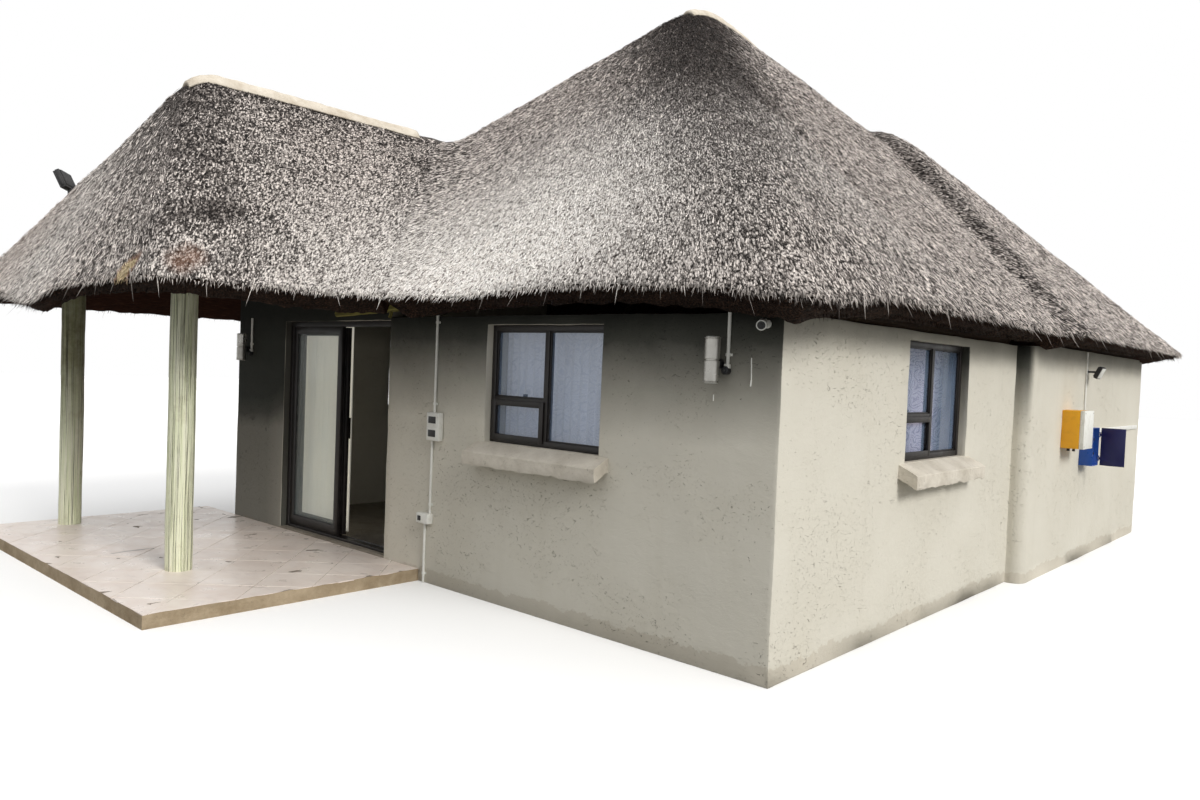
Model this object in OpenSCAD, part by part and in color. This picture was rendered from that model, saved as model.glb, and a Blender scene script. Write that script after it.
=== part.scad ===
// Rondavel hut: plastered brick walls under one swept thatch roof, with an open verandah
// on two round poles. Millimetres, +Z up. The origin is on the ground below the front end
// of the main ridge. The front faces -Y, and the long plain side wall faces +X.

/* [Front block] */
// Outer width of the front block, along X
front_w = 6660; // [6000:10:7600]
// Outer face of the front wall, measured forward of the origin
front_y = 3500; // [3200:10:3900]
// Thickness of every outer wall
wall_t = 220; // [150:10:300]
// Height of the walls above the ground
wall_h = 2200; // [1950:5:2400]

/* [Rear block] */
// How far each side wall of the rear block stands out past the front block
rear_out = 150; // [60:10:180]
// Where the rear block starts, behind the origin
seam_y = 660; // [400:10:900]
// Outer face of the back wall, behind the origin
back_y = 6500; // [6000:50:7600]
// Outer radius of the two rounded back corners
corner_r = 1500; // [800:50:1800]
// Radius of the rounded corner where the rear block stands out past the front block
seam_round = 120; // [20:5:150]

/* [Floors] */
// Height of the verandah floor above the ground
stoep_h = 100; // [60:5:150]
// Height of the room floor above the ground
floor_h = 120; // [100:5:180]
// How far the verandah floor runs forward of the front wall
stoep_depth = 2200; // [1800:10:2220]
// How far the verandah floor runs past the left wall
stoep_side = 670; // [400:10:700]
// Width of the verandah floor, along X
stoep_w = 3960; // [3700:10:4000]

/* [Windows and doorway] */
// Width of each window
window_w = 1200; // [900:10:1300]
// Height of each window
window_h = 900; // [700:10:920]
// Height of the wall above each window
window_drop = 66; // [40:2:200]
// Centre of the front window, along X
window_x = 1330; // [1100:10:1700]
// Centre of the side windows, along Y
side_window_y = -1130; // [-1400:10:-700]
// Width of the back window
back_window_w = 1500; // [900:10:1800]
// Width of the doorway
door_w = 1800; // [1500:10:2000]
// How far the doorway's top lies below the top of the side walls
door_drop = 20; // [10:5:150]
// Left edge of the doorway, along X
door_x = -2350; // [-2600:10:-2200]
// Thickness of a concrete window sill
sill_t = 100; // [60:5:130]
// How far a sill stands out from the wall
sill_out = 140; // [60:5:180]
// How far a sill runs past the window on each side
sill_horn = 90; // [0:5:120]
// How far a sill's top falls from the window frame to the sill's front edge
sill_fall = 75; // [0:5:90]
// Width of a window frame's members, seen from outside
frame_w = 45; // [35:1:60]
// Depth of a window frame
frame_d = 60; // [40:1:80]
// Depth of the reveal in front of a window frame
reveal = 60; // [40:5:90]
// Thickness of the glass
glass_t = 6; // [4:1:8]
// Height of the opening pane under the transom
casement_h = 330; // [250:10:450]

/* [Sliding door] */
// Width of the sliding door's stiles and rails
stile_w = 70; // [50:1:90]
// Thickness of each door panel
panel_t = 36; // [28:1:40]
// Overlap of the two panels at the middle
panel_lap = 60; // [40:5:90]
// Gap between moving and fixed pieces of the door
door_gap = 8; // [6:1:12]
// Gap between the moving panel at its open rest place and the frame
open_gap = 22; // [10:1:60]

/* [Thatch] */
// Overhang of the thatch past the walls
eave_out = 400; // [380:10:500]
// Upright thickness of the thatch
thatch_t = 350; // [300:5:400]
// How far the underside's edge sits inside the outer edge
eave_in = 150; // [80:5:200]
// Slope of the front block's right side, as rise over run
main_slope = 0.92; // [0.85:0.01:1.0]
// Slope of the front
front_slope = 0.9; // [0.85:0.01:1.0]
// Slope of the whole left side
left_slope = 0.9; // [0.85:0.01:1.0]
// Slope of the back
back_slope = 0.9; // [0.8:0.01:1.0]
// Slope of the rear block's right side
rear_slope = 0.97; // [0.94:0.01:1.0]
// Slope of the short front of the rear block's roof
rear_front_slope = 1.29; // [1.1:0.01:1.5]
// Overhang of the thatch past the left wall, which also covers the verandah's side
left_out = 1270; // [1170:10:1370]
// Slope of the verandah roof's right side
wing_slope = 0.89; // [0.85:0.01:1.0]
// Slope of the verandah roof's front
wing_front_slope = 1.76; // [1.4:0.01:1.9]
// Half the width of the verandah roof
wing_half = 2290; // [2200:10:2400]
// How far the verandah roof reaches in front of the walls
wing_front = 2220; // [2100:10:2400]
// Softness of the rounded hips
hip_round = 530; // [300:10:900]
// Softness of the two rounded back hips
back_round = 1800; // [1500:50:2500]
// Where the rear block's own front slope would meet the eave, behind the origin
rear_front = 690; // [500:10:900]
// Softness of the ridges
ridge_round = 60; // [40:5:120]
// Softness of the swept valleys
valley_round = 1000; // [600:50:1400]
// Width of the cement ridge cap
cap_w = 200; // [160:10:300]
// Thickness of the cement ridge cap
cap_t = 45; // [30:5:60]

/* [Poles] */
// Diameter of the verandah posts
post_d = 200; // [160:5:240]
// How far the left post stands outside the left wall
post_side = 360; // [300:10:400]
// Distance between the verandah posts
post_gap = 2520; // [2200:10:2700]
// Distance of the posts in front of the front wall
post_out = 1500; // [1300:10:1650]
// Diameter of the verandah beams
beam_d = 140; // [100:5:160]
// Diameter of the rafters
rafter_d = 100; // [80:5:110]

/* [Fittings] */
// Diameter of the white conduits
conduit_d = 22; // [16:1:28]
// Width of the meter box, along the wall
meter_w = 340; // [250:10:450]
// Height of the meter box
meter_h = 380; // [300:10:500]
// Depth of the meter box
meter_d = 210; // [150:10:260]
// Where the meter box starts along the side wall, behind the origin
meter_y = 1660; // [1200:10:1900]
// Height of the meter box's bottom above the ground
meter_z = 1230; // [1000:10:1500]
// Width of the switch box, along the wall
switch_w = 240; // [200:10:300]
// Height of the switch box
switch_h = 400; // [300:10:450]
// Depth of the switch box
switch_d = 130; // [100:5:180]
// Where the switch box starts along the side wall, behind the origin
switch_y = 2380; // [2250:10:2800]
// Height of the switch box's bottom above the ground
switch_z = 1020; // [900:10:1200]

/* [Hidden] */

plaster = [0.80, 0.78, 0.72];
thatch_grey = [0.62, 0.58, 0.54];
pole_green = [0.72, 0.72, 0.58];
frame_brown = [0.20, 0.15, 0.13];
white_plastic = [0.92, 0.92, 0.90];

half_w = front_w / 2;
rear_half = half_w + rear_out;
inner_half = half_w - wall_t;
door_top = wall_h - door_drop;
window_top = wall_h - window_drop;
window_z = window_top - window_h;
seat = 0.3;
post_y = -front_y - post_out;
beam_end = post_d / 2;
doorway_pole_d = 60;
rafter_gap = 0.5;
plate_gap = 4;
plate_in = 60;
plate_lap = 60;
fan_head = 0.25;
ridge_head = 0.06;
gable_gap = 60;
gable_steps = 8;
slab_gap = 0.15;
ridge_slack = 0.3;
cap_seat = 0.8;
cap_steps = 3;
wing_cap_rays = 8;
jamb_w = 50;
track_h = 24;
rail_t = 8;
rail_h = 10;
roller_w = 60;
pull_d = 30;
pull_z = 950;
pull_h = 200;
sash_out = 12;
sash_w = 22;
door_d = 2 * panel_t + 4 * door_gap;
door_y = -front_y + reveal;
fixed_y = door_y + door_gap;
leaf_y = fixed_y + panel_t + 2 * door_gap;
panel_w = (door_w - 2 * jamb_w + panel_lap) / 2;
rail_top = floor_h + track_h + rail_h;
leaf_z = rail_top + door_gap;
leaf_x = door_x + jamb_w + open_gap;
curtain_t = 90;
curtain_top = window_top + 30;
light_right_in = 440;
light_left_in = 230;
light_xs = [half_w - light_right_in, light_left_in - half_w];
light_drop = 290;
light_z = wall_h - light_drop;
light_d = 95;
light_h = 260;
light_wall = 4;
light_recess = 30;
light_out = 45;
light_mount = 60;
light_pipe = 70;
pipe_rise = 15;
pipe_x = 100;
plate_x = 70;
plate_w = 150;
plate_h = 230;
plate_z = 1190;
plate_out = 50;
plug_x = -20;
plug_w = 150;
plug_h = 85;
plug_z = 500;
plug_out = 60;
trunk_t = 18;
trunk_h = 50;
camera_in = 110;
camera_drop = 70;
camera_plate = 50;
camera_plate_t = 12;
camera_arm_d = 18;
camera_arm = 40;
camera_d = 58;
camera_l = 110;
roof_lamp_foot_d = 30;
roof_lamp_stem = 60;
roof_lamp_w = 280;
roof_lamp_t = 80;
roof_lamp_h = 170;
wall_lamp_drop = 190;
wall_lamp_plate = 60;
wall_lamp_plate_t = 12;
wall_lamp_arm_t = 24;
wall_lamp_out = 110;
wall_lamp_w = 150;
wall_lamp_h = 130;
wall_lamp_t = 40;
lamp_tilt = 25;
box_wall = 4;
pin_d = 5;
knuckle_d = 11;
knuckle_h = 28;
lug_t = 12;
lug_w = 8;
lid_t = 40;
door_back = 3;
door_front = 11;
hinge_x = rear_half + switch_d + lug_w;
hinge_y = switch_y + switch_w - lug_w / 2;
hinge_zs = [switch_z + 60, switch_z + switch_h - 90];
step_round = 300;
hip_least = 50;
hip_growth = 0.35;
valley_least = 1;
corner_clear = 100;
ray_step = 450;
wing_rays = 10;
thatch_rows = 8;

// Height taken up by a rafter and by the plate under it, below thatch of some slope
function rafter_rise(slope) = rafter_gap + rafter_d * sqrt(1 + slope * slope);
function plate_rise(slope) = rafter_rise(slope) + plate_gap + rafter_d;
// Height of the outer thatch edge, which follows from the walls that carry the roof
eave_z = wall_h + plate_rise(main_slope) + thatch_t - main_slope * (eave_out + wall_t / 2);
// Top of a wall whose plate stands a distance inside the eave, below some slope
function wall_top(slope, run) = eave_z + slope * run - thatch_t - plate_rise(slope);

// Plan of the roof
left_eave = half_w + left_out;
rear_left = left_eave - eave_out;
stoep_left = -half_w - stoep_side;
stoep_right = stoep_left + stoep_w;
right_eave = half_w + eave_out;
front_eave = -front_y - eave_out;
back_eave = back_y + eave_out;
rear_eave = rear_half + eave_out;
wing_x = wing_half - left_eave;
wing_right = wing_x + wing_half;
wing_front_y = -front_y - wing_front;

// Smooth minimum and maximum, which round the hips and sweep the valleys
function soft_min(a, b, k) = min(a, b) - pow(max(k - abs(a - b), 0), 2) / (4 * k);
function soft_max(a, b, k) = max(a, b) + pow(max(k - abs(a - b), 0), 2) / (4 * k);
function hip_k(a, b) = min(hip_round, hip_least + hip_growth * min(a, b));
function hip(a, b) = soft_min(a, b, hip_k(a, b));

// Height above the eave of each slope's plane
function rise_right(x) = main_slope * (right_eave - x);
function rise_left(x) = left_slope * (left_eave + x);
function rise_front(y) = front_slope * (y - front_eave);
function rise_back(y) = back_slope * (back_eave - y);
function rise_wing_right(x) = wing_slope * (wing_right - x);
function rise_wing_front(y) = wing_front_slope * (y - wing_front_y);
function rise_rear_right(x) = rear_slope * (rear_eave - x);
function rise_rear_front(y) = rear_front_slope * (y - rear_front);

function main_rise(x, y) = hip(soft_min(rise_right(x), rise_left(x), ridge_round), rise_front(y));
function rear_rise(x, y) = soft_min(soft_min(rise_rear_right(x), rise_left(x), ridge_round),
    rise_rear_front(y), step_round);
// The verandah roof runs on back until the main roof has swallowed it
function wing_rise(x, y) = hip(soft_min(rise_wing_right(x), rise_left(x), ridge_round), rise_wing_front(y));
// The valley sweep fades out where the left slope binds both roofs
function valley_k(x, a, b) = max(valley_least, min(valley_round, rise_left(x) - max(a, b)));
function house_rise(x, y) = soft_min(soft_max(main_rise(x, y), rear_rise(x, y), ridge_round),
    rise_back(y), back_round);
function join_rise(x, a, b) = soft_max(a, b, valley_k(x, a, b));
function roof_rise(x, y) = join_rise(x, house_rise(x, y), wing_rise(x, y));
// Places where the thatch edge hangs low or high, as [point, drop, reach]
sags = [[[wing_x - 250, wing_front_y], 110, 900], [[right_eave, front_eave + 150], 70, 800],
    [[half_w * 0.6, front_eave], -40, 1400]];
function sag(p) = [for (s = sags) s[1] * pow(max(0, 1 - pow(norm(p - s[0]) / s[2], 2)), 2)]
    * [for (s = sags) 1];
function roof_z(p) = eave_z + roof_rise(p[0], p[1]) - sag(p);
function under_z(p) = roof_z(p) - thatch_t;

// Ends of the ridges, and the saddle where the verandah roof meets the main one
ridge_x = (main_slope * right_eave - left_slope * left_eave) / (main_slope + left_slope);
ridge_rise = rise_right(ridge_x);
apex_front = [ridge_x, front_eave + ridge_rise / front_slope];
apex_back = [ridge_x, back_eave - ridge_rise / back_slope];
wing_ridge_x = (wing_slope * wing_right - left_slope * left_eave) / (wing_slope + left_slope);
wing_ridge_rise = rise_wing_right(wing_ridge_x);
wing_apex = [wing_ridge_x, wing_front_y + wing_ridge_rise / wing_front_slope];
saddle = [wing_ridge_x, front_eave + wing_ridge_rise / front_slope];

// The posts, and the height at which each side's beam rests on them
post_left_x = -half_w - post_side;
post_right_x = post_left_x + post_gap;
function beam_seat(slope, run) = eave_z + slope * run - thatch_t - rafter_rise(slope) - beam_d - plate_gap;
seat_right = beam_seat(wing_slope, wing_right - post_right_x);
seat_left = beam_seat(left_slope, left_eave + post_left_x);
// The left wall reaches up to the higher thatch there
left_wall_h = wall_top(left_slope, left_eave - half_w + plate_in);
rear_left_h = wall_top(left_slope, eave_out + wall_t / 2);
rear_right_h = wall_top(rear_slope, eave_out + wall_t / 2);
// Top of a wall that stands under the thatch, above the point p
function gable_z(p) = under_z(p) - gable_gap;

function lerp(a, b, t) = a + (b - a) * t;
// Length along a ray at which the roof has come down to its eave
function eave_t(p, q, lo, hi, n) = n == 0 ? lo
    : let (m = (lo + hi) / 2, c = lerp(p, q, m))
        roof_rise(c[0], c[1]) > 0 ? eave_t(p, q, m, hi, n - 1) : eave_t(p, q, lo, m, n - 1);
function eave_point(p, q) = lerp(p, q, eave_t(p, q, 0.5, 1.6, 26));
notch = eave_point(saddle, [wing_right, front_eave]);
left_corner = eave_point(saddle, [-left_eave, saddle[1]]);

// Each ray is [start on the ridge, end, true where it ends at an eave]
function eave_ray(p, q) = [p, eave_point(p, q), true];
function cut_ray(p, q) = [p, q, false];

// Where the underside ends on a ray
function rim_of(r) = r[2] ? r[1] + (r[0] - r[1]) * (eave_in / norm(r[0] - r[1])) : r[1];

// Rays that start at one point share the vertex of the first of them
function first_ray(rays, i) =
    i > 0 && norm(rays[i][0] - rays[max(i - 1, 0)][0]) < 1 ? first_ray(rays, i - 1) : i;

// A ray moved sideways and off the ridge, so that slabs do not quite meet in their common planes
function beside(r, gap) = let (d = (r[1] - r[0]) / norm(r[1] - r[0]), s = [-d[1], d[0]] * gap)
    [r[0] + s + d * ridge_slack, r[1] + s, r[2]];

// A slab of thatch between its first and last ray: a closed shell of even upright thickness
module thatch_slab(all_rays) {
    n = len(all_rays);
    rays = [for (i = [0:n - 1])
        beside(all_rays[i], i == 0 ? slab_gap : i == n - 1 ? -slab_gap : 0)];
    m = thatch_rows;
    rim = [for (r = rays) rim_of(r)];
    top = [for (r = rays, j = [0:m]) let (p = lerp(r[0], r[1], j / m)) [p[0], p[1], roof_z(p)]];
    low = [for (i = [0:n - 1], j = [0:m]) let (p = lerp(rays[i][0], rim[i], j / m))
        [p[0], p[1], under_z(p)]];
    points = concat(top, low);
    under = n * (m + 1);
    function at(i, j) = (j == 0 ? first_ray(rays, i) : i) * (m + 1) + j;
    // The top is folded along its lower diagonals and the underside along its higher ones, so that
    // nothing laid between two rays can touch a fold
    function height(q, k) = points[q[k]][2] + points[q[k + 2]][2];
    function fold(q, up) = up * (height(q, 1) - height(q, 0)) > 0
        ? [[q[0], q[1], q[2]], [q[0], q[2], q[3]]] : [[q[0], q[1], q[3]], [q[1], q[2], q[3]]];
    outer = [for (i = [0:n - 2], j = [0:m - 1]) [at(i, j), at(i + 1, j), at(i + 1, j + 1), at(i, j + 1)]];
    inner = [for (i = [0:n - 2], j = [0:m - 1])
        [under + at(i, j), under + at(i, j + 1), under + at(i + 1, j + 1), under + at(i + 1, j)]];
    edges = concat(
        [for (i = [0:n - 2]) [at(i, m), at(i + 1, m), under + at(i + 1, m), under + at(i, m)]],
        [for (i = [0:n - 2]) [at(i + 1, 0), at(i, 0), under + at(i, 0), under + at(i + 1, 0)]],
        [for (j = [0:m - 1]) [at(0, j), at(0, j + 1), under + at(0, j + 1), under + at(0, j)]],
        [for (j = [0:m - 1])
            [at(n - 1, j + 1), at(n - 1, j), under + at(n - 1, j), under + at(n - 1, j + 1)]]);
    halves = concat([for (q = outer) each fold(q, 1)], [for (q = inner) each fold(q, -1)],
        [for (q = edges) each fold(q, 1)]);
    faces = [for (t = halves) if (t[0] != t[1] && t[1] != t[2] && t[2] != t[0]) t];
    color(thatch_grey) polyhedron(points, faces);
}

function on_ridge(y) = [ridge_x, min(max(y, apex_front[1]), apex_back[1])];
// Even steps from a to b, both included, no further apart than the ray step
function steps(a, b) = let (n = ceil(abs(b - a) / ray_step)) [for (i = [0:n]) lerp(a, b, i / n)];

// The rays of each slab run anticlockwise round the roof, seen from above
function right_ray(y) = eave_ray(on_ridge(y), [y < seam_y ? right_eave : rear_eave, y]);
function left_ray(y) = eave_ray(on_ridge(y), [-left_eave, y]);
function wing_right_ray(t) = eave_ray(lerp(wing_apex, saddle, t),
    [wing_right, lerp(wing_front_y, front_eave, t)]);
function wing_left_ray(t) = eave_ray(lerp(wing_apex, saddle, t),
    [-left_eave, lerp(wing_front_y, saddle[1], t)]);
right_rays = [for (y = steps(front_eave, back_eave)) right_ray(y)];
left_rays = concat([for (y = steps(back_eave, front_eave)) if (y > left_corner[1] + corner_clear) left_ray(y)],
    [for (t = [0:1 / 6:1]) cut_ray(apex_front, lerp(left_corner, saddle, t))]);
wing_right_rays = [for (i = [0:wing_rays]) wing_right_ray(i / wing_rays)];
wing_left_rays = [for (i = [wing_rays:-1:0]) wing_left_ray(i / wing_rays)];
wing_front_rays = [for (x = steps(-left_eave, wing_right)) eave_ray(wing_apex, [x, wing_front_y])];

module thatch_right() {
    thatch_slab(right_rays);
}
module thatch_back() {
    thatch_slab([for (x = steps(rear_eave, -left_eave)) eave_ray(apex_back, [x, back_eave])]);
}
module thatch_left() {
    thatch_slab(left_rays);
}
module thatch_front() {
    cut = [for (t = [0:1 / 8:0.99]) cut_ray(apex_front, lerp(saddle, notch, t))];
    along = [for (x = steps(notch[0], right_eave))
        eave_ray(apex_front, [x, lerp(notch[1], front_eave, min(1, (x - notch[0]) / ray_step))])];
    thatch_slab(concat(cut, along));
}
module thatch_verandah_right() {
    thatch_slab(wing_right_rays);
}
module thatch_verandah_front() {
    thatch_slab(wing_front_rays);
}
module thatch_verandah_left() {
    thatch_slab(wing_left_rays);
}

// Point on the thatch's top, a distance down a ray within its first row
function cap_point(r, down) = let (p = lerp(r[0], r[1], 1 / thatch_rows), row = norm(p - r[0]))
    concat(lerp(r[0], p, down / row), lerp(roof_z(r[0]), roof_z(p), down / row) + cap_seat);

// Cement cap laid over a ridge, between pairs of rays that leave it to its left and its right
module ridge_strip(pairs) {
    half = cap_steps;
    across = 2 * half;
    along = len(pairs) - 1;
    low = [for (pair = pairs, i = [-half:half]) cap_point(pair[i < 0 ? 0 : 1], abs(i) / half * cap_w / 2)];
    top = [for (k = [0:len(low) - 1]) low[k]
        + [0, 0, cap_t * (1 - 0.6 * pow((k % (across + 1)) / half - 1, 2))]];
    row = across + 1;
    lift = len(low);
    quads = concat(
        [for (j = [0:along - 1], i = [0:across - 1]) let (k = j * row + i) [k, k + 1, k + row + 1, k + row]],
        [for (j = [0:along - 1], i = [0:across - 1]) let (k = j * row + i + lift)
            [k, k + row, k + row + 1, k + 1]],
        [for (i = [0:across - 1]) [i + 1, i, i + lift, i + 1 + lift]],
        [for (i = [0:across - 1]) let (k = along * row + i) [k, k + 1, k + 1 + lift, k + lift]],
        [for (j = [0:along - 1]) let (k = j * row) [k, k + row, k + row + lift, k + lift]],
        [for (j = [0:along - 1]) let (k = j * row + across) [k + row, k, k + lift, k + row + lift]]);
    polyhedron(concat(low, top), [for (q = quads) each [[q[0], q[1], q[2]], [q[0], q[2], q[3]]]]);
}
module ridge_caps() {
    color([0.88, 0.84, 0.78]) {
        ridge_strip([for (i = [0:wing_cap_rays])
            [wing_left_ray(i / wing_rays), wing_right_ray(i / wing_rays)]]);
        ridge_strip([for (y = steps(front_eave, back_eave))
            if (y > apex_front[1] - ray_step && y < apex_back[1] + ray_step) [left_ray(y), right_ray(y)]]);
    }
}

// A straight pole between two points, with flat ends
module pole(a, b, d) {
    v = b - a;
    translate(a)
        rotate([0, acos(v[2] / norm(v)), atan2(v[1], v[0])])
            cylinder(d = d, h = norm(v), $fn = 12);
}

// A box from its lowest to its highest corner
module block(a, b) {
    translate(a) cube(b - a);
}

// A plain opening through a wall that faces along Y, or along X when it is turned
module window_hole_y(x, y, w) {
    block([x - w / 2, y - sill_out, window_z], [x + w / 2, y + wall_t + sill_out, window_top]);
    block([x - w / 2, y - sill_out, window_z - sill_t], [x + w / 2, y + wall_t + sill_out, window_z + 1]);
}
module window_hole_x(x, y, w) {
    block([x - sill_out, y - w / 2, window_z - sill_t], [x + wall_t + sill_out, y + w / 2, window_top]);
}

// Floors
module floor_slab() {
    color("silver") {
        block([-inner_half, -front_y + wall_t, 0], [inner_half, seam_y, floor_h]);
        block([-inner_half, seam_y, 0], [rear_half - wall_t, seam_y + wall_t, floor_h]);
        block([-rear_left + wall_t, seam_y + wall_t, 0], [rear_half - wall_t, back_y - corner_r, floor_h]);
        block([-rear_left + corner_r, back_y - corner_r, 0],
            [rear_half - corner_r, back_y - wall_t, floor_h]);
        for (x = [-rear_left + corner_r, rear_half - corner_r])
            translate([x, back_y - corner_r, 0]) cylinder(r = corner_r - wall_t, h = floor_h, $fn = 64);
        block([door_x, -front_y, 0], [door_x + door_w, -front_y + wall_t, floor_h]);
    }
}
module stoep_slab() {
    color([0.85, 0.80, 0.76])
        block([stoep_right - stoep_w, -front_y - stoep_depth, 0], [stoep_right, -front_y, stoep_h]);
}

// Walls
module wall_front_right() {
    color(plaster) difference() {
        block([door_x + door_w, -front_y, 0], [half_w, -front_y + wall_t, wall_h]);
        window_hole_y(window_x, -front_y, window_w);
    }
}
// A wall along X from x0 to x1 with its foot at z, whose top follows the thatch above it
module gable_wall(x0, x1, y, z) {
    top = [for (i = [gable_steps:-1:0]) let (x = lerp(x0, x1, i / gable_steps))
        [x, max(wall_h, min(gable_z([x, y]), gable_z([x, y + wall_t])))]];
    translate([0, y + wall_t, 0]) rotate([90, 0, 0]) linear_extrude(wall_t)
        polygon(concat([[x0, z], [x1, z]], top));
}
module wall_front_left() {
    color(plaster) gable_wall(-half_w, door_x, -front_y, 0);
}
module wall_over_doorway() {
    color(plaster) gable_wall(door_x, door_x + door_w, -front_y, door_top);
}
module wall_right() {
    color(plaster) difference() {
        block([inner_half, -front_y + wall_t, 0], [half_w, seam_y, wall_h]);
        window_hole_x(inner_half, side_window_y, window_w);
    }
}
module wall_left() {
    color(plaster) difference() {
        block([-half_w, -front_y + wall_t, 0], [-inner_half, seam_y, left_wall_h]);
        window_hole_x(-half_w, side_window_y, window_w);
    }
}
// Its top stays under the thatch, which hangs lower where the rear block starts
module wall_rear_right() {
    r = min(seam_round, rear_out - 10);
    end = back_y - corner_r;
    top = [for (i = [0:gable_steps]) let (y = lerp(seam_y, end, i / gable_steps))
        [y, max(wall_h, min(rear_right_h, gable_z([rear_half, y]), gable_z([rear_half - wall_t, y])))]];
    color(plaster) difference() {
        translate([rear_half - wall_t, 0, 0]) rotate([90, 0, 90]) linear_extrude(wall_t)
            polygon(concat([[end, 0], [seam_y, 0]], top));
        difference() {
            block([rear_half - r, seam_y - 1, -1], [rear_half + 1, seam_y + r, rear_right_h + 1]);
            translate([rear_half - r, seam_y + r, -2]) cylinder(r = r, h = rear_right_h + 4, $fn = 64);
        }
    }
}
module wall_rear_left() {
    color(plaster) {
        block([-rear_left, seam_y, 0], [-rear_left + wall_t, back_y - corner_r, rear_left_h]);
        gable_wall(-rear_left + wall_t, -inner_half, seam_y, 0);
    }
}
module wall_rear_corners() {
    color(plaster) {
        translate([rear_half - corner_r, back_y - corner_r, 0]) quarter_ring(0, wall_h);
        translate([-rear_left + corner_r, back_y - corner_r, 0]) quarter_ring(90, wall_h);
    }
}
module quarter_ring(turn, h) {
    rotate([0, 0, turn]) rotate_extrude(angle = 90, $fn = 96)
        translate([corner_r - wall_t, 0]) square([wall_t, h]);
}
module wall_back() {
    color(plaster) difference() {
        block([-rear_left + corner_r, back_y - wall_t, 0], [rear_half - corner_r, back_y, wall_h]);
        window_hole_y(0, back_y - wall_t, back_window_w);
    }
}

// Posts, beams and rafters
module posts() {
    color(pole_green) {
        translate([post_right_x, post_y, stoep_h]) cylinder(d = post_d, h = seat_right - stoep_h);
        translate([post_left_x, post_y, stoep_h]) cylinder(d = post_d, h = seat_left - stoep_h);
    }
}
// The thatch's underside on a ray: a part of the way down, at one of its rows, and its height
function low_point(r, t) = lerp(r[0], rim_of(r), t);
function low_at(r, j) = let (p = low_point(r, j / thatch_rows)) [p[0], p[1], under_z(p)];
function low_z(r, t) = let (j = min(floor(t * thatch_rows), thatch_rows - 1))
    lerp(low_at(r, j)[2], low_at(r, j + 1)[2], t * thatch_rows - j);
// Slant over run of the steepest facet that touches ray i between two rows
function slant(rays, i, j) = max([for (k = [i - 1, i + 1], m = [j, j + 1]) let (p = low_at(rays[i], j),
    n = cross(low_at(rays[i], j + 1) - p, low_at(rays[k], m) - p)) abs(n[2]) < 1 ? 1 : norm(n) / abs(n[2])]);
// How far the axis of a straight rafter lies below the thatch, so that it clears every facet over it
function hang(rays, i, head, foot) = let (r = rays[i], end = foot + rafter_d / 2 / norm(rim_of(r) - r[0]))
    max([for (j = [0:thatch_rows - 1], t = [max(head, j / thatch_rows), min(end, (j + 1) / thatch_rows)])
        if (t >= head && t <= end)
            lerp(low_z(r, head), low_z(r, foot), (t - head) / (foot - head)) - low_z(r, t)
                + (rafter_d / 2 + rafter_gap) * slant(rays, i, j)]);
// A rafter that lies along one of the rays, just under the thatch
module rafter(rays, i, head, foot) {
    r = rays[i];
    a = low_point(r, foot);
    b = low_point(r, head);
    drop = hang(rays, i, head, foot);
    pole([a[0], a[1], low_z(r, foot) - drop], [b[0], b[1], low_z(r, head) - drop], rafter_d);
}
// Part of the way down a ray at which it reaches some x
function reach_x(r, x) = (x - r[0][0]) / (rim_of(r)[0] - r[0][0]);
// Rafters that meet at an apex stop short of it, and the others end near the ridge
function head_of(r) = min(norm(r[0] - apex_front), norm(r[0] - apex_back), norm(r[0] - wing_apex)) < 1
    ? fan_head : ridge_head;

// A rafter that reaches just past the left verandah beam
module left_rafter(rays, i) {
    rafter(rays, i, head_of(rays[i]), reach_x(rays[i], post_left_x - beam_d / 2 - plate_lap));
}
// The beams, with the verandah's rafters notched over them
module verandah_frame() {
    zr = seat_right + beam_d / 2 + seat;
    zl = seat_left + beam_d / 2 + seat;
    color(pole_green) {
        pole([post_right_x, post_y - beam_end, zr], [post_right_x, -front_y - seat, zr], beam_d);
        pole([post_left_x, post_y - beam_end, zl], [post_left_x, -front_y - seat, zl], beam_d);
        pole([post_left_x - beam_end, post_y, zl], [post_right_x - post_d / 2 - seat, post_y, zl], beam_d);
        for (i = [1:3]) {
            rafter(wing_right_rays, i, ridge_head,
                reach_x(wing_right_rays[i], post_right_x + beam_d / 2 + plate_lap));
            left_rafter(wing_left_rays, wing_rays - i);
        }
    }
}
// A pole laid across the doorway, between the walls beside it
module doorway_pole() {
    z = door_top + doorway_pole_d;
    color([0.72, 0.68, 0.4])
        pole([door_x + door_w * 0.55, -front_y - doorway_pole_d / 2 - seat, z],
            [door_x + door_w + 180, -front_y - doorway_pole_d / 2 - seat, z + 40], doorway_pole_d);
}

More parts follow.
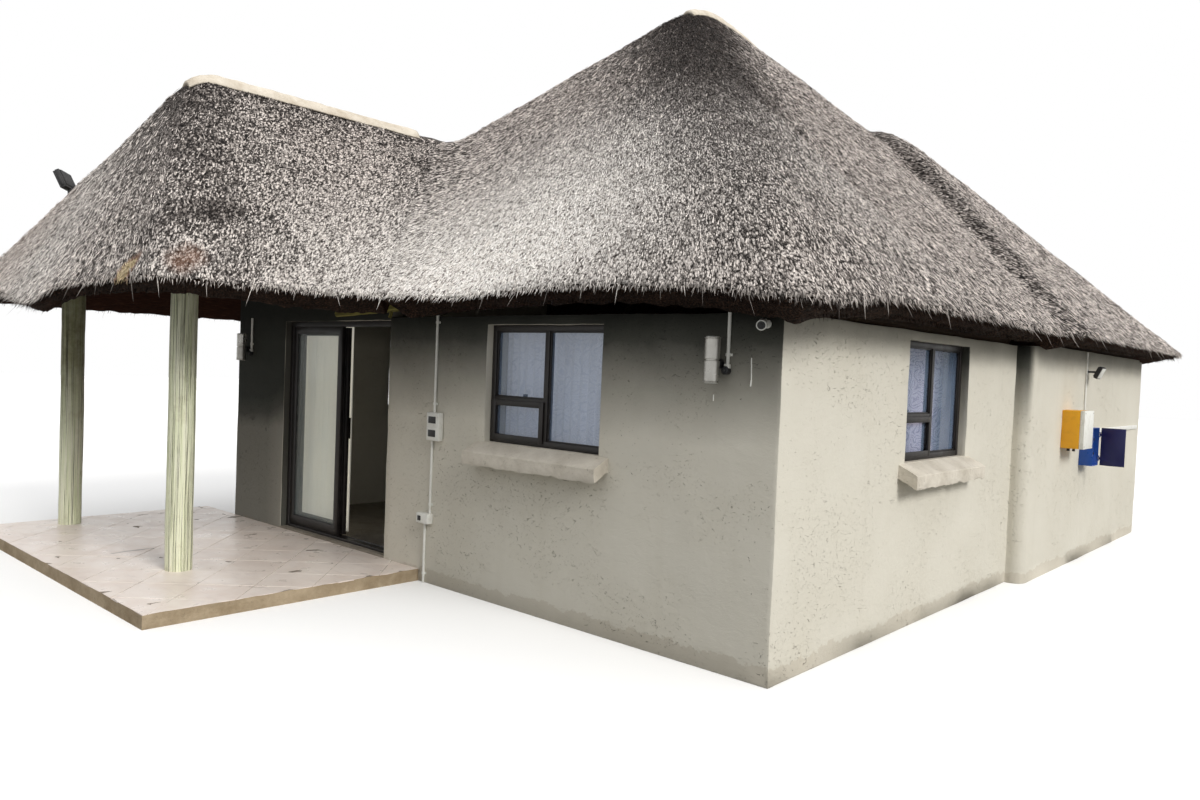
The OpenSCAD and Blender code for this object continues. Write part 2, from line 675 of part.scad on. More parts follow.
// Rafters along every second ray of a side, notched over the plates on the walls
module rafters_right() {
    plate = wall_h + rafter_d / 2 + seat;
    rear_plate = rear_right_h + rafter_d / 2 + seat;
    x = half_w - wall_t / 2;
    rear_x = rear_half - wall_t / 2;
    // Where the rear slope has come up to its full height
    rear_start = seam_y + 2 * ray_step;
    color(pole_green) {
        pole([x, -front_y + wall_t, plate], [x, seam_y - 1, plate], rafter_d);
        pole([rear_x, rear_start, rear_plate], [rear_x, back_y - corner_r - 1, rear_plate], rafter_d);
        for (i = [1:2:len(right_rays) - 2]) {
            r = right_rays[i];
            y = r[1][1];
            if (y < seam_y || (y > rear_start && y < back_y - corner_r))
                rafter(right_rays, i, head_of(r), reach_x(r, (y < seam_y ? x : rear_x) + plate_lap));
        }
    }
}
module rafters_left() {
    plate = left_wall_h + rafter_d / 2 + seat;
    rear_plate = rear_left_h + rafter_d / 2 + seat;
    beam_z = seat_left + beam_d / 2 + seat;
    x = -half_w + plate_in;
    rear_x = -rear_left + wall_t / 2;
    color(pole_green) {
        pole([x, -front_y + wall_t + 1, plate], [x, seam_y - 1, plate], rafter_d);
        pole([rear_x, seam_y + 1, rear_plate], [rear_x, back_y - corner_r - 1, rear_plate], rafter_d);
        // The left verandah beam's other length, from the front wall to the rear block
        pole([post_left_x, -front_y + seat, beam_z], [post_left_x, seam_y - seat, beam_z], beam_d);
        for (i = [6, 8]) left_rafter(wing_left_rays, wing_rays - i);
        for (i = [2:2:len(left_rays) - 2]) {
            r = left_rays[i];
            y = r[1][1];
            if (r[2] && y < seam_y) left_rafter(left_rays, i);
            if (r[2] && y >= seam_y && y < back_y - corner_r)
                rafter(left_rays, i, head_of(r), reach_x(r, rear_x - plate_lap));
        }
    }
}

// Windows: the frame's left light has an opening pane under a transom
module window_frame(w) {
    mid = w / 2;
    color(frame_brown) {
        difference() {
            block([0, 0, 0], [w, frame_d, window_h]);
            block([frame_w, -1, frame_w], [mid - frame_w / 2, frame_d + 1, casement_h - frame_w / 2]);
            block([frame_w, -1, casement_h + frame_w / 2],
                [mid - frame_w / 2, frame_d + 1, window_h - frame_w]);
            block([mid + frame_w / 2, -1, frame_w], [w - frame_w, frame_d + 1, window_h - frame_w]);
        }
        difference() {
            block([frame_w / 2, -sash_out, frame_w / 2], [mid - 8, 0, casement_h]);
            block([frame_w + sash_w, -sash_out - 1, frame_w + sash_w],
                [mid - frame_w / 2 - sash_w, 1, casement_h - frame_w / 2 - sash_w]);
        }
    }
}
module window_panes(w) {
    mid = w / 2;
    y = frame_d / 2 - glass_t / 2;
    color([0.6, 0.7, 0.75, 0.5]) {
        block([frame_w + seat, y, frame_w + seat], [mid - frame_w / 2 - seat, y + glass_t,
            casement_h - frame_w / 2 - seat]);
        block([frame_w + seat, y, casement_h + frame_w / 2 + seat],
            [mid - frame_w / 2 - seat, y + glass_t, window_h - frame_w - seat]);
        block([mid + frame_w / 2 + seat, y, frame_w + seat],
            [w - frame_w - seat, y + glass_t, window_h - frame_w - seat]);
    }
}
module window_sill(w) {
    front = -reveal - sill_out;
    color([0.72, 0.69, 0.63]) {
        translate([-sill_horn, 0, 0]) rotate([90, 0, 90]) linear_extrude(w + 2 * sill_horn)
            polygon([[front, -sill_fall - sill_t], [-reveal, -sill_t], [-reveal, 0], [front, -sill_fall]]);
        block([0, -reveal, -sill_t], [w, wall_t - reveal, 0]);
    }
}
// Places a window's pieces, whose own frame has the outside towards -Y
module at_front_window() {
    translate([window_x - window_w / 2, -front_y + reveal, window_z]) children();
}
module at_right_window() {
    translate([half_w - reveal, side_window_y - window_w / 2, window_z]) rotate([0, 0, 90]) children();
}
module at_left_window() {
    translate([-half_w + reveal, side_window_y + window_w / 2, window_z]) rotate([0, 0, -90]) children();
}
module at_back_window() {
    translate([back_window_w / 2, back_y - reveal, window_z]) rotate([0, 0, 180]) children();
}
module window_frame_front() {
    at_front_window() window_frame(window_w);
}
module window_frame_right() {
    at_right_window() window_frame(window_w);
}
module window_frames_far() {
    at_left_window() window_frame(window_w);
    at_back_window() window_frame(back_window_w);
}
module window_glass() {
    at_front_window() window_panes(window_w);
    at_right_window() window_panes(window_w);
    at_left_window() window_panes(window_w);
    at_back_window() window_panes(back_window_w);
}
module window_sills() {
    at_front_window() window_sill(window_w);
    at_right_window() window_sill(window_w);
    at_left_window() window_sill(window_w);
    at_back_window() window_sill(back_window_w);
}

// Sliding door: the fixed panel is in the outer track and the moving one in the inner track
module door_frame() {
    color(frame_brown) {
        block([door_x, door_y, floor_h], [door_x + jamb_w, door_y + door_d, door_top]);
        block([door_x + door_w - jamb_w, door_y, floor_h], [door_x + door_w, door_y + door_d, door_top]);
        block([door_x + jamb_w, door_y, door_top - jamb_w],
            [door_x + door_w - jamb_w, door_y + door_d, door_top]);
        block([door_x + jamb_w, door_y, floor_h],
            [door_x + door_w - jamb_w, door_y + door_d, floor_h + track_h]);
        // The rail that the moving panel's rollers run on
        block([door_x + jamb_w, leaf_y + panel_t / 2 - rail_t / 2, floor_h + track_h],
            [door_x + door_w - jamb_w, leaf_y + panel_t / 2 + rail_t / 2, floor_h + track_h + rail_h]);
    }
}
module door_panel(x, y, z0, z1) {
    difference() {
        block([x, y, z0], [x + panel_w, y + panel_t, z1]);
        block([x + stile_w, y - 1, z0 + stile_w * 1.4],
            [x + panel_w - stile_w, y + panel_t + 1, z1 - stile_w]);
    }
}
module panel_glass(x, y, z0, z1) {
    yg = y + panel_t / 2 - glass_t / 2;
    color([0.6, 0.7, 0.75, 0.5])
        block([x + stile_w + seat, yg, z0 + stile_w * 1.4 + seat],
            [x + panel_w - stile_w - seat, yg + glass_t, z1 - stile_w - seat]);
}
module door_fixed_panel() {
    color(frame_brown) door_panel(door_x + jamb_w, fixed_y, floor_h + track_h, door_top - jamb_w);
}
module door_fixed_glass() {
    panel_glass(door_x + jamb_w, fixed_y, floor_h + track_h, door_top - jamb_w);
}
module door_leaf() {
    color(frame_brown) {
        door_panel(leaf_x, leaf_y, leaf_z, door_top - jamb_w - door_gap);
        // Rollers in their housings, and the pull on the closing stile
        for (x = [leaf_x + stile_w, leaf_x + panel_w - stile_w - roller_w])
            block([x, leaf_y + panel_t / 2 - rail_t, rail_top + seat],
                [x + roller_w, leaf_y + panel_t / 2 + rail_t, leaf_z]);
        block([leaf_x + panel_w - stile_w * 0.6, leaf_y + panel_t, floor_h + pull_z],
            [leaf_x + panel_w - stile_w * 0.3, leaf_y + panel_t + pull_d, floor_h + pull_z + pull_h]);
    }
}
module door_leaf_glass() {
    panel_glass(leaf_x, leaf_y, leaf_z, door_top - jamb_w - door_gap);
}

// Curtains hang just inside the glass
module window_curtains() {
    color("ghostwhite") {
        block([window_x - window_w / 2 - 60, -front_y + wall_t + seat, window_z - 120],
            [window_x + window_w / 2 + 60, -front_y + wall_t + curtain_t, curtain_top]);
        block([inner_half - curtain_t, side_window_y - window_w / 2 - 60, window_z - 120],
            [inner_half - seat, side_window_y + window_w / 2 + 60, curtain_top]);
    }
}
module curtain_door() {
    color("beige") block([door_x - 100, -front_y + wall_t + seat, floor_h + 20],
        [door_x + door_w / 2 - 60, -front_y + wall_t + curtain_t, door_top + 5]);
}

// Wall fittings
module wall_lights() {
    for (x = light_xs) translate([x, -front_y, light_z]) {
        color("dimgray") block([-light_mount / 3, -light_out, -light_mount / 2],
            [light_mount * 2 / 3, 0, light_mount / 2]);
        color("silver") translate([light_mount / 6, -light_out - light_d / 2, -light_h / 2])
            difference() {
                cylinder(d = light_d, h = light_h);
                for (z = [-1, light_h - light_recess]) translate([0, 0, z])
                    cylinder(d = light_d - 2 * light_wall, h = light_recess + 1);
            }
    }
}
// A square length of conduit against the front wall, between two heights
module front_pipe(x, z0, z1) {
    block([x - conduit_d / 2, -front_y - conduit_d, z0], [x + conduit_d / 2, -front_y, z1]);
}
module conduits() {
    pipe_top = wall_h + pipe_rise;
    pipe_y = switch_y + switch_w / 4;
    switch_top = switch_z + switch_h;
    color(white_plastic) {
        for (x = light_xs) {
            front_pipe(x + light_pipe, light_z - conduit_d / 2, pipe_top);
            block([x + light_mount * 2 / 3, -front_y - conduit_d, light_z - conduit_d / 2],
                [x + light_pipe - conduit_d / 2, -front_y, light_z + conduit_d / 2]);
        }
        // Conduit down the front wall, with a double switch and a box near the floor
        front_pipe(pipe_x + conduit_d, plate_z + plate_h, pipe_top);
        block([plate_x, -front_y - plate_out, plate_z], [plate_x + plate_w, -front_y, plate_z + plate_h]);
        front_pipe(pipe_x, plug_z + plug_h, plate_z);
        block([plug_x, -front_y - plug_out, plug_z], [plug_x + plug_w, -front_y, plug_z + plug_h]);
        front_pipe(plug_x + plug_w / 3, 0, plug_z);
        // Conduit and trunking on the side wall
        block([rear_half, pipe_y, switch_top], [rear_half + conduit_d, pipe_y + conduit_d, pipe_top]);
        block([rear_half, switch_y + switch_w, switch_top - 1.5 * trunk_h],
            [rear_half + trunk_t, back_y - corner_r, switch_top - trunk_h / 2]);
    }
}
module eave_camera() {
    half = camera_plate / 2;
    arm_y = -camera_plate_t - camera_arm;
    color(white_plastic) translate([half_w - camera_in, -front_y, wall_h - camera_drop]) {
        block([-half, -camera_plate_t, -half], [half, 0, half]);
        translate([0, -camera_plate_t, 0]) rotate([90, 0, 0]) cylinder(d = camera_arm_d, h = camera_arm);
        translate([0, arm_y, 0]) rotate([100, 0, lamp_tilt])
            translate([0, 0, -camera_arm / 2]) cylinder(d = camera_d, h = camera_l);
    }
}
module floodlights() {
    // On the verandah roof, where two of its slopes meet
    edge = wing_front_rays[0][1];
    above = lerp(wing_apex, edge, 3 / thatch_rows);
    p = lerp(wing_apex, edge, 4 / thatch_rows);
    foot_rise = (roof_z(above) - roof_z(p)) / norm(above - p) * roof_lamp_foot_d / 2 + seat;
    color("dimgray") translate([p[0], p[1], roof_z(p) + foot_rise]) {
        cylinder(d = roof_lamp_foot_d, h = roof_lamp_stem);
        translate([0, 0, roof_lamp_stem]) rotate([lamp_tilt, 0, -35])
            block([-roof_lamp_w / 2, -roof_lamp_t / 2, 0], [roof_lamp_w / 2, roof_lamp_t / 2, roof_lamp_h]);
    }
    // On the side wall, under the eave
    half = wall_lamp_plate / 2;
    arm = wall_lamp_arm_t / 2;
    color(white_plastic) translate([rear_half, switch_y + switch_w / 2, wall_h - wall_lamp_drop]) {
        block([0, -half, -half], [wall_lamp_plate_t, half, half]);
        block([wall_lamp_plate_t, -arm, -arm], [wall_lamp_out, arm, arm]);
        translate([wall_lamp_out, 0, 0]) rotate([0, lamp_tilt, 0])
            block([0, -wall_lamp_w / 2, -wall_lamp_h / 2], [wall_lamp_t, wall_lamp_w / 2, wall_lamp_h / 2]);
    }
}
module meter_box() {
    color("orange") block([rear_half, meter_y, meter_z], [rear_half + meter_d - lid_t, meter_y + meter_w,
        meter_z + meter_h]);
    color(white_plastic) block([rear_half + meter_d - lid_t, meter_y, meter_z],
        [rear_half + meter_d, meter_y + meter_w, meter_z + meter_h]);
}
module switch_box() {
    color("royalblue") difference() {
        block([rear_half, switch_y, switch_z], [rear_half + switch_d, switch_y + switch_w,
            switch_z + switch_h]);
        block([rear_half + box_wall, switch_y + box_wall, switch_z + box_wall],
            [rear_half + switch_d + 1, switch_y + switch_w - box_wall, switch_z + switch_h - box_wall]);
    }
    // Hinge pins, each held between two lugs
    color("royalblue") for (z = hinge_zs) {
        translate([hinge_x, hinge_y, z - lug_t]) cylinder(d = pin_d, h = knuckle_h + 2 * lug_t + 2);
        for (lug = [z - lug_t, z + knuckle_h + 2])
            block([rear_half + switch_d, hinge_y - lug_w / 2, lug],
                [hinge_x + lug_w / 2, hinge_y + lug_w / 2, lug + lug_t]);
    }
}
// The switch box's door, hinged at its far edge and wide open at rest
module switch_box_door() {
    color("midnightblue") translate([hinge_x, hinge_y, 0]) {
        block([10, -door_back, switch_z], [switch_w, door_front, switch_z + switch_h]);
        for (z = hinge_zs) translate([0, 0, z + 1]) difference() {
            union() {
                cylinder(d = knuckle_d, h = knuckle_h);
                block([0, -door_back, 0], [12, door_back, knuckle_h]);
            }
            translate([0, 0, -1]) cylinder(d = pin_d + 1, h = knuckle_h + 2);
        }
    }
}

floor_slab();
stoep_slab();
wall_front_right();
wall_front_left();
wall_over_doorway();
wall_right();
wall_left();
wall_rear_right();
wall_rear_left();
wall_rear_corners();
wall_back();
posts();
verandah_frame();
rafters_right();
rafters_left();
doorway_pole();
thatch_front();
thatch_right();
thatch_left();
thatch_back();
thatch_verandah_front();
thatch_verandah_right();
thatch_verandah_left();
ridge_caps();
window_frame_front();
window_frame_right();
window_frames_far();
window_glass();
window_sills();
door_frame();
door_fixed_panel();
door_fixed_glass();
door_leaf();
door_leaf_glass();
window_curtains();
curtain_door();
wall_lights();
conduits();
eave_camera();
floodlights();
meter_box();
switch_box();
switch_box_door();
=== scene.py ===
# The looks of a plastered hut under one swept thatch roof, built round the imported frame.
# Metres, +Z up, in the same place as the frame: the front faces -Y, the plain side wall +X.
import math

import bmesh
import bpy
import numpy as np
from mathutils import Matrix, Vector, noise


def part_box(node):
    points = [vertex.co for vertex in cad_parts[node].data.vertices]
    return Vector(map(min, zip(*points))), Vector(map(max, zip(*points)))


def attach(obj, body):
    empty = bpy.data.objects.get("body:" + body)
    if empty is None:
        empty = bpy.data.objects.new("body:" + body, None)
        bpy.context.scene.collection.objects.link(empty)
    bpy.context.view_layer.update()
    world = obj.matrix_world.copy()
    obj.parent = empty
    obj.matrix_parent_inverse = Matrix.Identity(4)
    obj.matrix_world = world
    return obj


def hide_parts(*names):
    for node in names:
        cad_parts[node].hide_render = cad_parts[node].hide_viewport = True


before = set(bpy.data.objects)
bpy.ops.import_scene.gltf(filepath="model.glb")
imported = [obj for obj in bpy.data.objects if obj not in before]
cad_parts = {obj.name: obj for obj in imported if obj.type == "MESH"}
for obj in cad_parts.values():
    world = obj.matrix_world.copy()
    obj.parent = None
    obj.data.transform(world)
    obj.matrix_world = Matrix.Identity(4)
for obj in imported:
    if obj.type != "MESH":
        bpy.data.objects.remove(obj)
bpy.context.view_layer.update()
scene = bpy.context.scene

# Sizes that the frame's source also has
HALF_W, FRONT_Y, WALL_T, WALL_H = 3.33, 3.5, 0.22, 2.2
REAR_HALF, SEAM_Y, BACK_Y, CORNER_R = 3.48, 0.66, 6.5, 1.5
STOEP_H, FLOOR_H = 0.1, 0.12
STOEP_X0, STOEP_X1, STOEP_Y0 = -4.0, -0.04, -5.7
WINDOW_W, WINDOW_H, WINDOW_Z, WINDOW_X = 1.2, 0.9, 1.234, 1.33
SIDE_WINDOW_Y, BACK_WINDOW_W = -1.13, 1.5
DOOR_X, DOOR_W, DOOR_TOP = -2.35, 1.8, 2.18
REVEAL, FRAME_W, FRAME_D, CASEMENT_H = 0.06, 0.045, 0.06, 0.33
SILL_T, SILL_OUT, SILL_HORN, SILL_FALL = 0.1, 0.14, 0.09, 0.075
THATCH_T, EAVE_OUT, RAFTER_D, CAP_W = 0.35, 0.4, 0.1, 0.18
MAIN_SLOPE, FRONT_SLOPE, LEFT_SLOPE, BACK_SLOPE = 0.92, 0.9, 0.9, 0.9
REAR_SLOPE, REAR_FRONT_SLOPE, LEFT_EAVE, REAR_FRONT = 0.97, 1.29, 4.6, 0.69
WING_SLOPE, WING_FRONT_SLOPE, WING_HALF, WING_FRONT = 0.89, 1.76, 2.29, 2.22
HIP_ROUND, BACK_ROUND, RIDGE_ROUND, STEP_ROUND, VALLEY_ROUND = 0.53, 1.8, 0.06, 0.3, 1.0
HIP_SHARP, HIP_GROWTH = 0.05, 0.35  # a hip's rounding at the eave, and what it gains up the roof
LIGHT_XS, LIGHT_Z = (2.89, -3.1), 1.91

# Sizes of the looks
EAVE_LIP = 0.09  # how deep the thatch's cut edge looks from below, where it is cut back inwards
CUT_LEAST, CUT_MOST = 0.1, 0.34  # how far in the cut edge may go
CURTAIN_IN = 0.045  # how far inside the wall a curtain hangs
TOP, EDGE, UNDER = 0, 1, 2  # the sides of the thatch, which are also its material slots

# Places that follow from the sizes
RAFTER_RISE = 0.0005 + RAFTER_D * math.hypot(1, MAIN_SLOPE)
EAVE_Z = WALL_H + RAFTER_RISE + 0.004 + RAFTER_D + THATCH_T - MAIN_SLOPE * (EAVE_OUT + WALL_T / 2)
RIGHT_EAVE, FRONT_EAVE = HALF_W + EAVE_OUT, -FRONT_Y - EAVE_OUT
BACK_EAVE, REAR_EAVE = BACK_Y + EAVE_OUT, REAR_HALF + EAVE_OUT
WING_X = WING_HALF - LEFT_EAVE
WING_RIGHT, WING_FRONT_Y = WING_X + WING_HALF, -FRONT_Y - WING_FRONT
RIDGE_X = (MAIN_SLOPE * RIGHT_EAVE - LEFT_SLOPE * LEFT_EAVE) / (MAIN_SLOPE + LEFT_SLOPE)
RIDGE_RISE = MAIN_SLOPE * (RIGHT_EAVE - RIDGE_X)
APEX_FRONT = np.array([RIDGE_X, FRONT_EAVE + RIDGE_RISE / FRONT_SLOPE])
APEX_BACK = np.array([RIDGE_X, BACK_EAVE - RIDGE_RISE / BACK_SLOPE])
WING_RIDGE_X = (WING_SLOPE * WING_RIGHT - LEFT_SLOPE * LEFT_EAVE) / (WING_SLOPE + LEFT_SLOPE)
WING_RIDGE_RISE = WING_SLOPE * (WING_RIGHT - WING_RIDGE_X)
WING_APEX = np.array([WING_RIDGE_X, WING_FRONT_Y + WING_RIDGE_RISE / WING_FRONT_SLOPE])
SADDLE = np.array([WING_RIDGE_X, FRONT_EAVE + WING_RIDGE_RISE / FRONT_SLOPE])

# Where the eaves sag, or lift where the depth is negative: place, depth and reach
SAGS = (((WING_X - 0.25, WING_FRONT_Y), 0.11, 0.9), ((RIGHT_EAVE, FRONT_EAVE + 0.15), 0.07, 0.8),
        ((HALF_W * 0.6, FRONT_EAVE), -0.04, 1.4))


# The roof's shape, by the rules of the frame's source, but with the whole roof ended by its back slope
def soft_min(a, b, k):
    return np.minimum(a, b) - np.maximum(k - np.abs(a - b), 0) ** 2 / (4 * k)


def soft_max(a, b, k):
    return np.maximum(a, b) + np.maximum(k - np.abs(a - b), 0) ** 2 / (4 * k)


def hip(a, b):
    """Two slopes that meet in a hip, sharp at the eave and rounder further up."""
    grown_round = HIP_SHARP + HIP_GROWTH * np.minimum(a, b)
    return soft_min(a, b, np.maximum(HIP_SHARP, np.minimum(HIP_ROUND, grown_round)))


def roof_rise(x, y):
    """How far the roof's top lies above its eave, without the sags."""
    right, left = MAIN_SLOPE * (RIGHT_EAVE - x), LEFT_SLOPE * (LEFT_EAVE + x)
    front, back = FRONT_SLOPE * (y - FRONT_EAVE), BACK_SLOPE * (BACK_EAVE - y)
    main = hip(soft_min(right, left, RIDGE_ROUND), front)
    rear_sides = soft_min(REAR_SLOPE * (REAR_EAVE - x), left, RIDGE_ROUND)
    rear = soft_min(rear_sides, REAR_FRONT_SLOPE * (y - REAR_FRONT), STEP_ROUND)
    house = soft_max(main, rear, RIDGE_ROUND)
    wing_sides = soft_min(WING_SLOPE * (WING_RIGHT - x), left, RIDGE_ROUND)
    wing = hip(wing_sides, WING_FRONT_SLOPE * (y - WING_FRONT_Y))
    valley = np.maximum(0.001, np.minimum(VALLEY_ROUND, left - np.maximum(house, wing)))
    return soft_min(soft_max(house, wing, valley), back, BACK_ROUND)


def roof_z(x, y):
    low = sum(deep * np.maximum(0, 1 - ((x - at[0]) ** 2 + (y - at[1]) ** 2) / reach ** 2) ** 2
              for at, deep, reach in SAGS)
    return EAVE_Z + roof_rise(x, y) - low


def eave_ends(starts, aims):
    """Where rays from the ridge towards their aims have come down to the eave, found by halving."""
    low, high, halvings = np.full(len(starts), 0.5), np.full(len(starts), 1.6), 26
    for _ in range(halvings):
        mid = (low + high) / 2
        at = starts + (aims - starts) * mid[:, None]
        above = roof_rise(at[:, 0], at[:, 1]) > 0
        low, high = np.where(above, mid, low), np.where(above, high, mid)
    return starts + (aims - starts) * low[:, None]


def ray_fan(starts, aims, at_eave=1.0):
    """Rays over the roof, each [start on the ridge, end, 1 where it ends at an eave]."""
    starts, aims = np.array(starts, float), np.array(aims, float)
    ends = eave_ends(starts, aims) if at_eave else aims
    return [(s, e, at_eave) for s, e in zip(starts, ends)]


def stations(a, b, gap):
    """Even steps from a to b, no longer than the gap."""
    return np.linspace(a, b, int(math.ceil(abs(b - a) / gap)) + 1)


# Camera, fitted to the photo's edges
def photo_camera():
    yaw, pitch, roll = 0.73312, -0.0343087, 0.0405797
    focal_pixels, photo_pixels, sensor = 890.161, 1200, 36
    look = Vector((-math.sin(yaw) * math.cos(pitch), math.cos(yaw) * math.cos(pitch), math.sin(pitch)))
    right = Vector((math.cos(yaw), math.sin(yaw), 0))
    up = right.cross(look)
    across = math.cos(roll) * right + math.sin(roll) * up
    above = math.cos(roll) * up - math.sin(roll) * right
    data = bpy.data.cameras.new("photo_camera")
    data.sensor_width, data.lens = sensor, focal_pixels * sensor / photo_pixels
    data.clip_start, data.clip_end = 0.05, 400
    camera = bpy.data.objects.new("photo_camera", data)
    place = Matrix.Translation((5.99397, -8.01877, 1.82537))
    camera.matrix_world = place @ Matrix((across, above, -look)).transposed().to_4x4()
    scene.collection.objects.link(camera)
    scene.camera = camera


photo_camera()


# Materials
class Finish:
    """A node material that is put together in a few words a line."""

    def __init__(self, name, rough=0.8, metal=0.0, **sockets):
        self.mat = bpy.data.materials.new(name)
        self.mat.use_nodes = True
        self.tree = self.mat.node_tree
        self.shader = self.tree.nodes["Principled BSDF"]
        self.set("Roughness", rough)
        self.set("Metallic", metal)
        for key, value in sockets.items():
            self.set(key.replace("_", " "), value)
        self.coord = self.tree.nodes.new("ShaderNodeTexCoord").outputs["Object"]
        self.relief = None

    def set(self, socket, value):
        if isinstance(value, bpy.types.NodeSocket):
            self.tree.links.new(value, self.shader.inputs[socket])
        else:
            if socket == "Base Color" and len(value) == 3:
                value = (*value, 1)
            self.shader.inputs[socket].default_value = value

    def node(self, kind, out=0, inputs=(), **settings):
        made = self.tree.nodes.new("ShaderNode" + kind)
        for key, value in settings.items():
            setattr(made, key, value)
        for key, value in dict(inputs).items():
            if isinstance(value, bpy.types.NodeSocket):
                self.tree.links.new(value, made.inputs[key])
            else:
                made.inputs[key].default_value = value
        return made.outputs[out]

    def attribute(self, name, out="Fac"):
        return self.node("Attribute", out, attribute_name=name)

    def scaled(self, x, y, z, of=None):
        return self.node("Mapping", 0, {"Vector": of or self.coord, "Scale": (x, y, z)})

    def noise(self, scale, detail=4, rough=0.55, of=None, warp=0.0):
        return self.node("TexNoise", 0, {"Vector": of or self.coord, "Scale": scale, "Detail": detail,
                                         "Roughness": rough, "Distortion": warp})

    def cells(self, scale, feature="F1", of=None, out="Distance"):
        return self.node("TexVoronoi", out, {"Vector": of or self.coord, "Scale": scale}, feature=feature)

    def ramp(self, value, *stops):
        made = self.tree.nodes.new("ShaderNodeValToRGB")
        self.tree.links.new(value, made.inputs[0])
        bits = made.color_ramp.elements
        while len(bits) < len(stops):
            bits.new(0.5)
        for bit, (at, colour) in zip(bits, stops):
            bit.position = at
            bit.color = (*([colour] * 3 if isinstance(colour, (int, float)) else colour), 1)
        return made.outputs[0]

    def maths(self, how, a, b=0.0, c=0.0):
        return self.node("Math", 0, {0: a, 1: b, 2: c}, operation=how)

    def times(self, a, b):
        return self.maths("MULTIPLY", a, b)

    def times_add(self, a, b, c):
        return self.maths("MULTIPLY_ADD", a, b, c)

    def mix(self, amount, a, b, how="MIX"):
        made = self.tree.nodes.new("ShaderNodeMix")
        made.data_type, made.blend_type = "RGBA", how
        for at, value in ((0, amount), (6, a), (7, b)):
            if isinstance(value, bpy.types.NodeSocket):
                self.tree.links.new(value, made.inputs[at])
            elif at == 0:
                made.inputs[0].default_value = value
            else:
                made.inputs[at].default_value = (*value, 1)
        return made.outputs[2]

    def tinted(self, amount, colour, tint):
        """The colour, with its own darker self under the tint mixed in."""
        return self.mix(amount, colour, self.mix(1.0, colour, tint, "MULTIPLY"))

    def bump(self, height, distance):
        inputs = {"Height": height, "Distance": distance}
        if self.relief is not None:
            inputs["Normal"] = self.relief
        self.relief = self.node("Bump", 0, inputs)
        self.tree.links.new(self.relief, self.shader.inputs["Normal"])

    def done(self, colour):
        self.set("Base Color", colour)
        return self.mat


def srgb(r, g, b):
    """A colour as a picture shows it, from 0 to 255, made linear."""
    return tuple((v / 255 / 12.92 if v <= 10 else ((v / 255 + 0.055) / 1.055) ** 2.4) for v in (r, g, b))


def thatch_finish(name, ground):
    """Straw ends: whitened by the sun and painted lighter where they lie in it, charcoal grey where the
    thatch is oldest.
    """
    f = Finish(name, 0.85, Specular_IOR_Level=0.2)
    shade, age, pale, warm = (f.attribute(key) for key in ("shade", "age", "pale", "warm"))
    fine = f.noise(110, 3, 0.7)
    if ground:
        # Between the modelled straws: tufts as wide and long as real ones, with painted shade in the gaps
        # round them
        lay = f.scaled(70, 32, 1, f.attribute("lay", "Vector"))
        gap = f.ramp(f.cells(1, of=lay), (0.4, 0.0), (0.75, 0.55))
        shade = f.maths("SUBTRACT", f.times_add(f.cells(1, of=lay, out="Color"), 0.9, 0.12), gap)
        f.bump(gap, -0.012)
    speck = f.times_add(shade, 0.8, f.times(fine, 0.25))
    plain = f.ramp(speck, (0.15, srgb(42, 36, 34)), (0.38, srgb(130, 121, 116)), (0.85, srgb(240, 230, 223)))
    # Sun-whitened straw, and painted light where the sun falls on the front slopes
    bleached_and_lit = f.ramp(speck, (0.06, srgb(126, 118, 112)), (0.23, srgb(228, 221, 215)),
                      (0.65, srgb(252, 249, 245)))
    colour = f.mix(pale, plain, bleached_and_lit)
    patchy = f.times_add(f.maths("SUBTRACT", f.noise(1.4, 6, 0.65, warp=0.5), 0.5), 0.8, age)
    worn = f.times_add(f.maths("SUBTRACT", 0.5, shade), 0.9, f.times_add(pale, -0.3, patchy))
    soot = f.mix(f.noise(3.1, 4), srgb(88, 83, 84), srgb(80, 73, 68))
    colour = f.tinted(f.ramp(worn, (0.0, 0.0), (0.45, 0.7), (1.0, 1.0)), colour, soot)
    straw = f.mix(f.ramp(warm, (0.45, 0.0), (0.6, 1.0)), srgb(150, 108, 84), srgb(226, 204, 158))
    straw = f.mix(f.times_add(shade, 0.55, 0.45), f.mix(0.75, straw, srgb(40, 28, 22)), straw)
    colour = f.mix(f.ramp(warm, (0.1, 0.0), (0.42, 0.8)), colour, straw)
    f.bump(fine, 0.01)
    return f.done(colour)


THATCH_TOP, THATCH_STRAW = thatch_finish("thatch_surface", True), thatch_finish("thatch_straw", False)


def cut_thatch_finish():
    """Straw ends of the cut edge, dark as they lie in the shade."""
    f = Finish("thatch_cut_face", 0.9, Specular_IOR_Level=0.15)
    ends = f.cells(70)
    colour = f.ramp(f.maths("ADD", f.times(ends, 0.7), f.times(f.noise(6, 5, 0.7), 0.6)),
                    (0.25, srgb(16, 10, 8)), (0.6, srgb(34, 23, 18)), (0.95, srgb(74, 53, 41)))
    f.bump(ends, 0.02)
    return f.done(colour)


def under_thatch_finish():
    """Brown reeds that lie along the rafters, darkened with painted shade."""
    f = Finish("thatch_underside", 0.9, Specular_IOR_Level=0.1)
    reeds = f.noise(1, 5, 0.75, f.scaled(70, 9, 9))
    colour = f.ramp(f.maths("ADD", f.times(reeds, 0.8), f.times(f.noise(2, 3), 0.3)),
                    (0.3, srgb(24, 13, 10)), (0.62, srgb(56, 32, 23)), (0.85, srgb(92, 64, 46)))
    f.bump(reeds, 0.02)
    return f.done(colour)


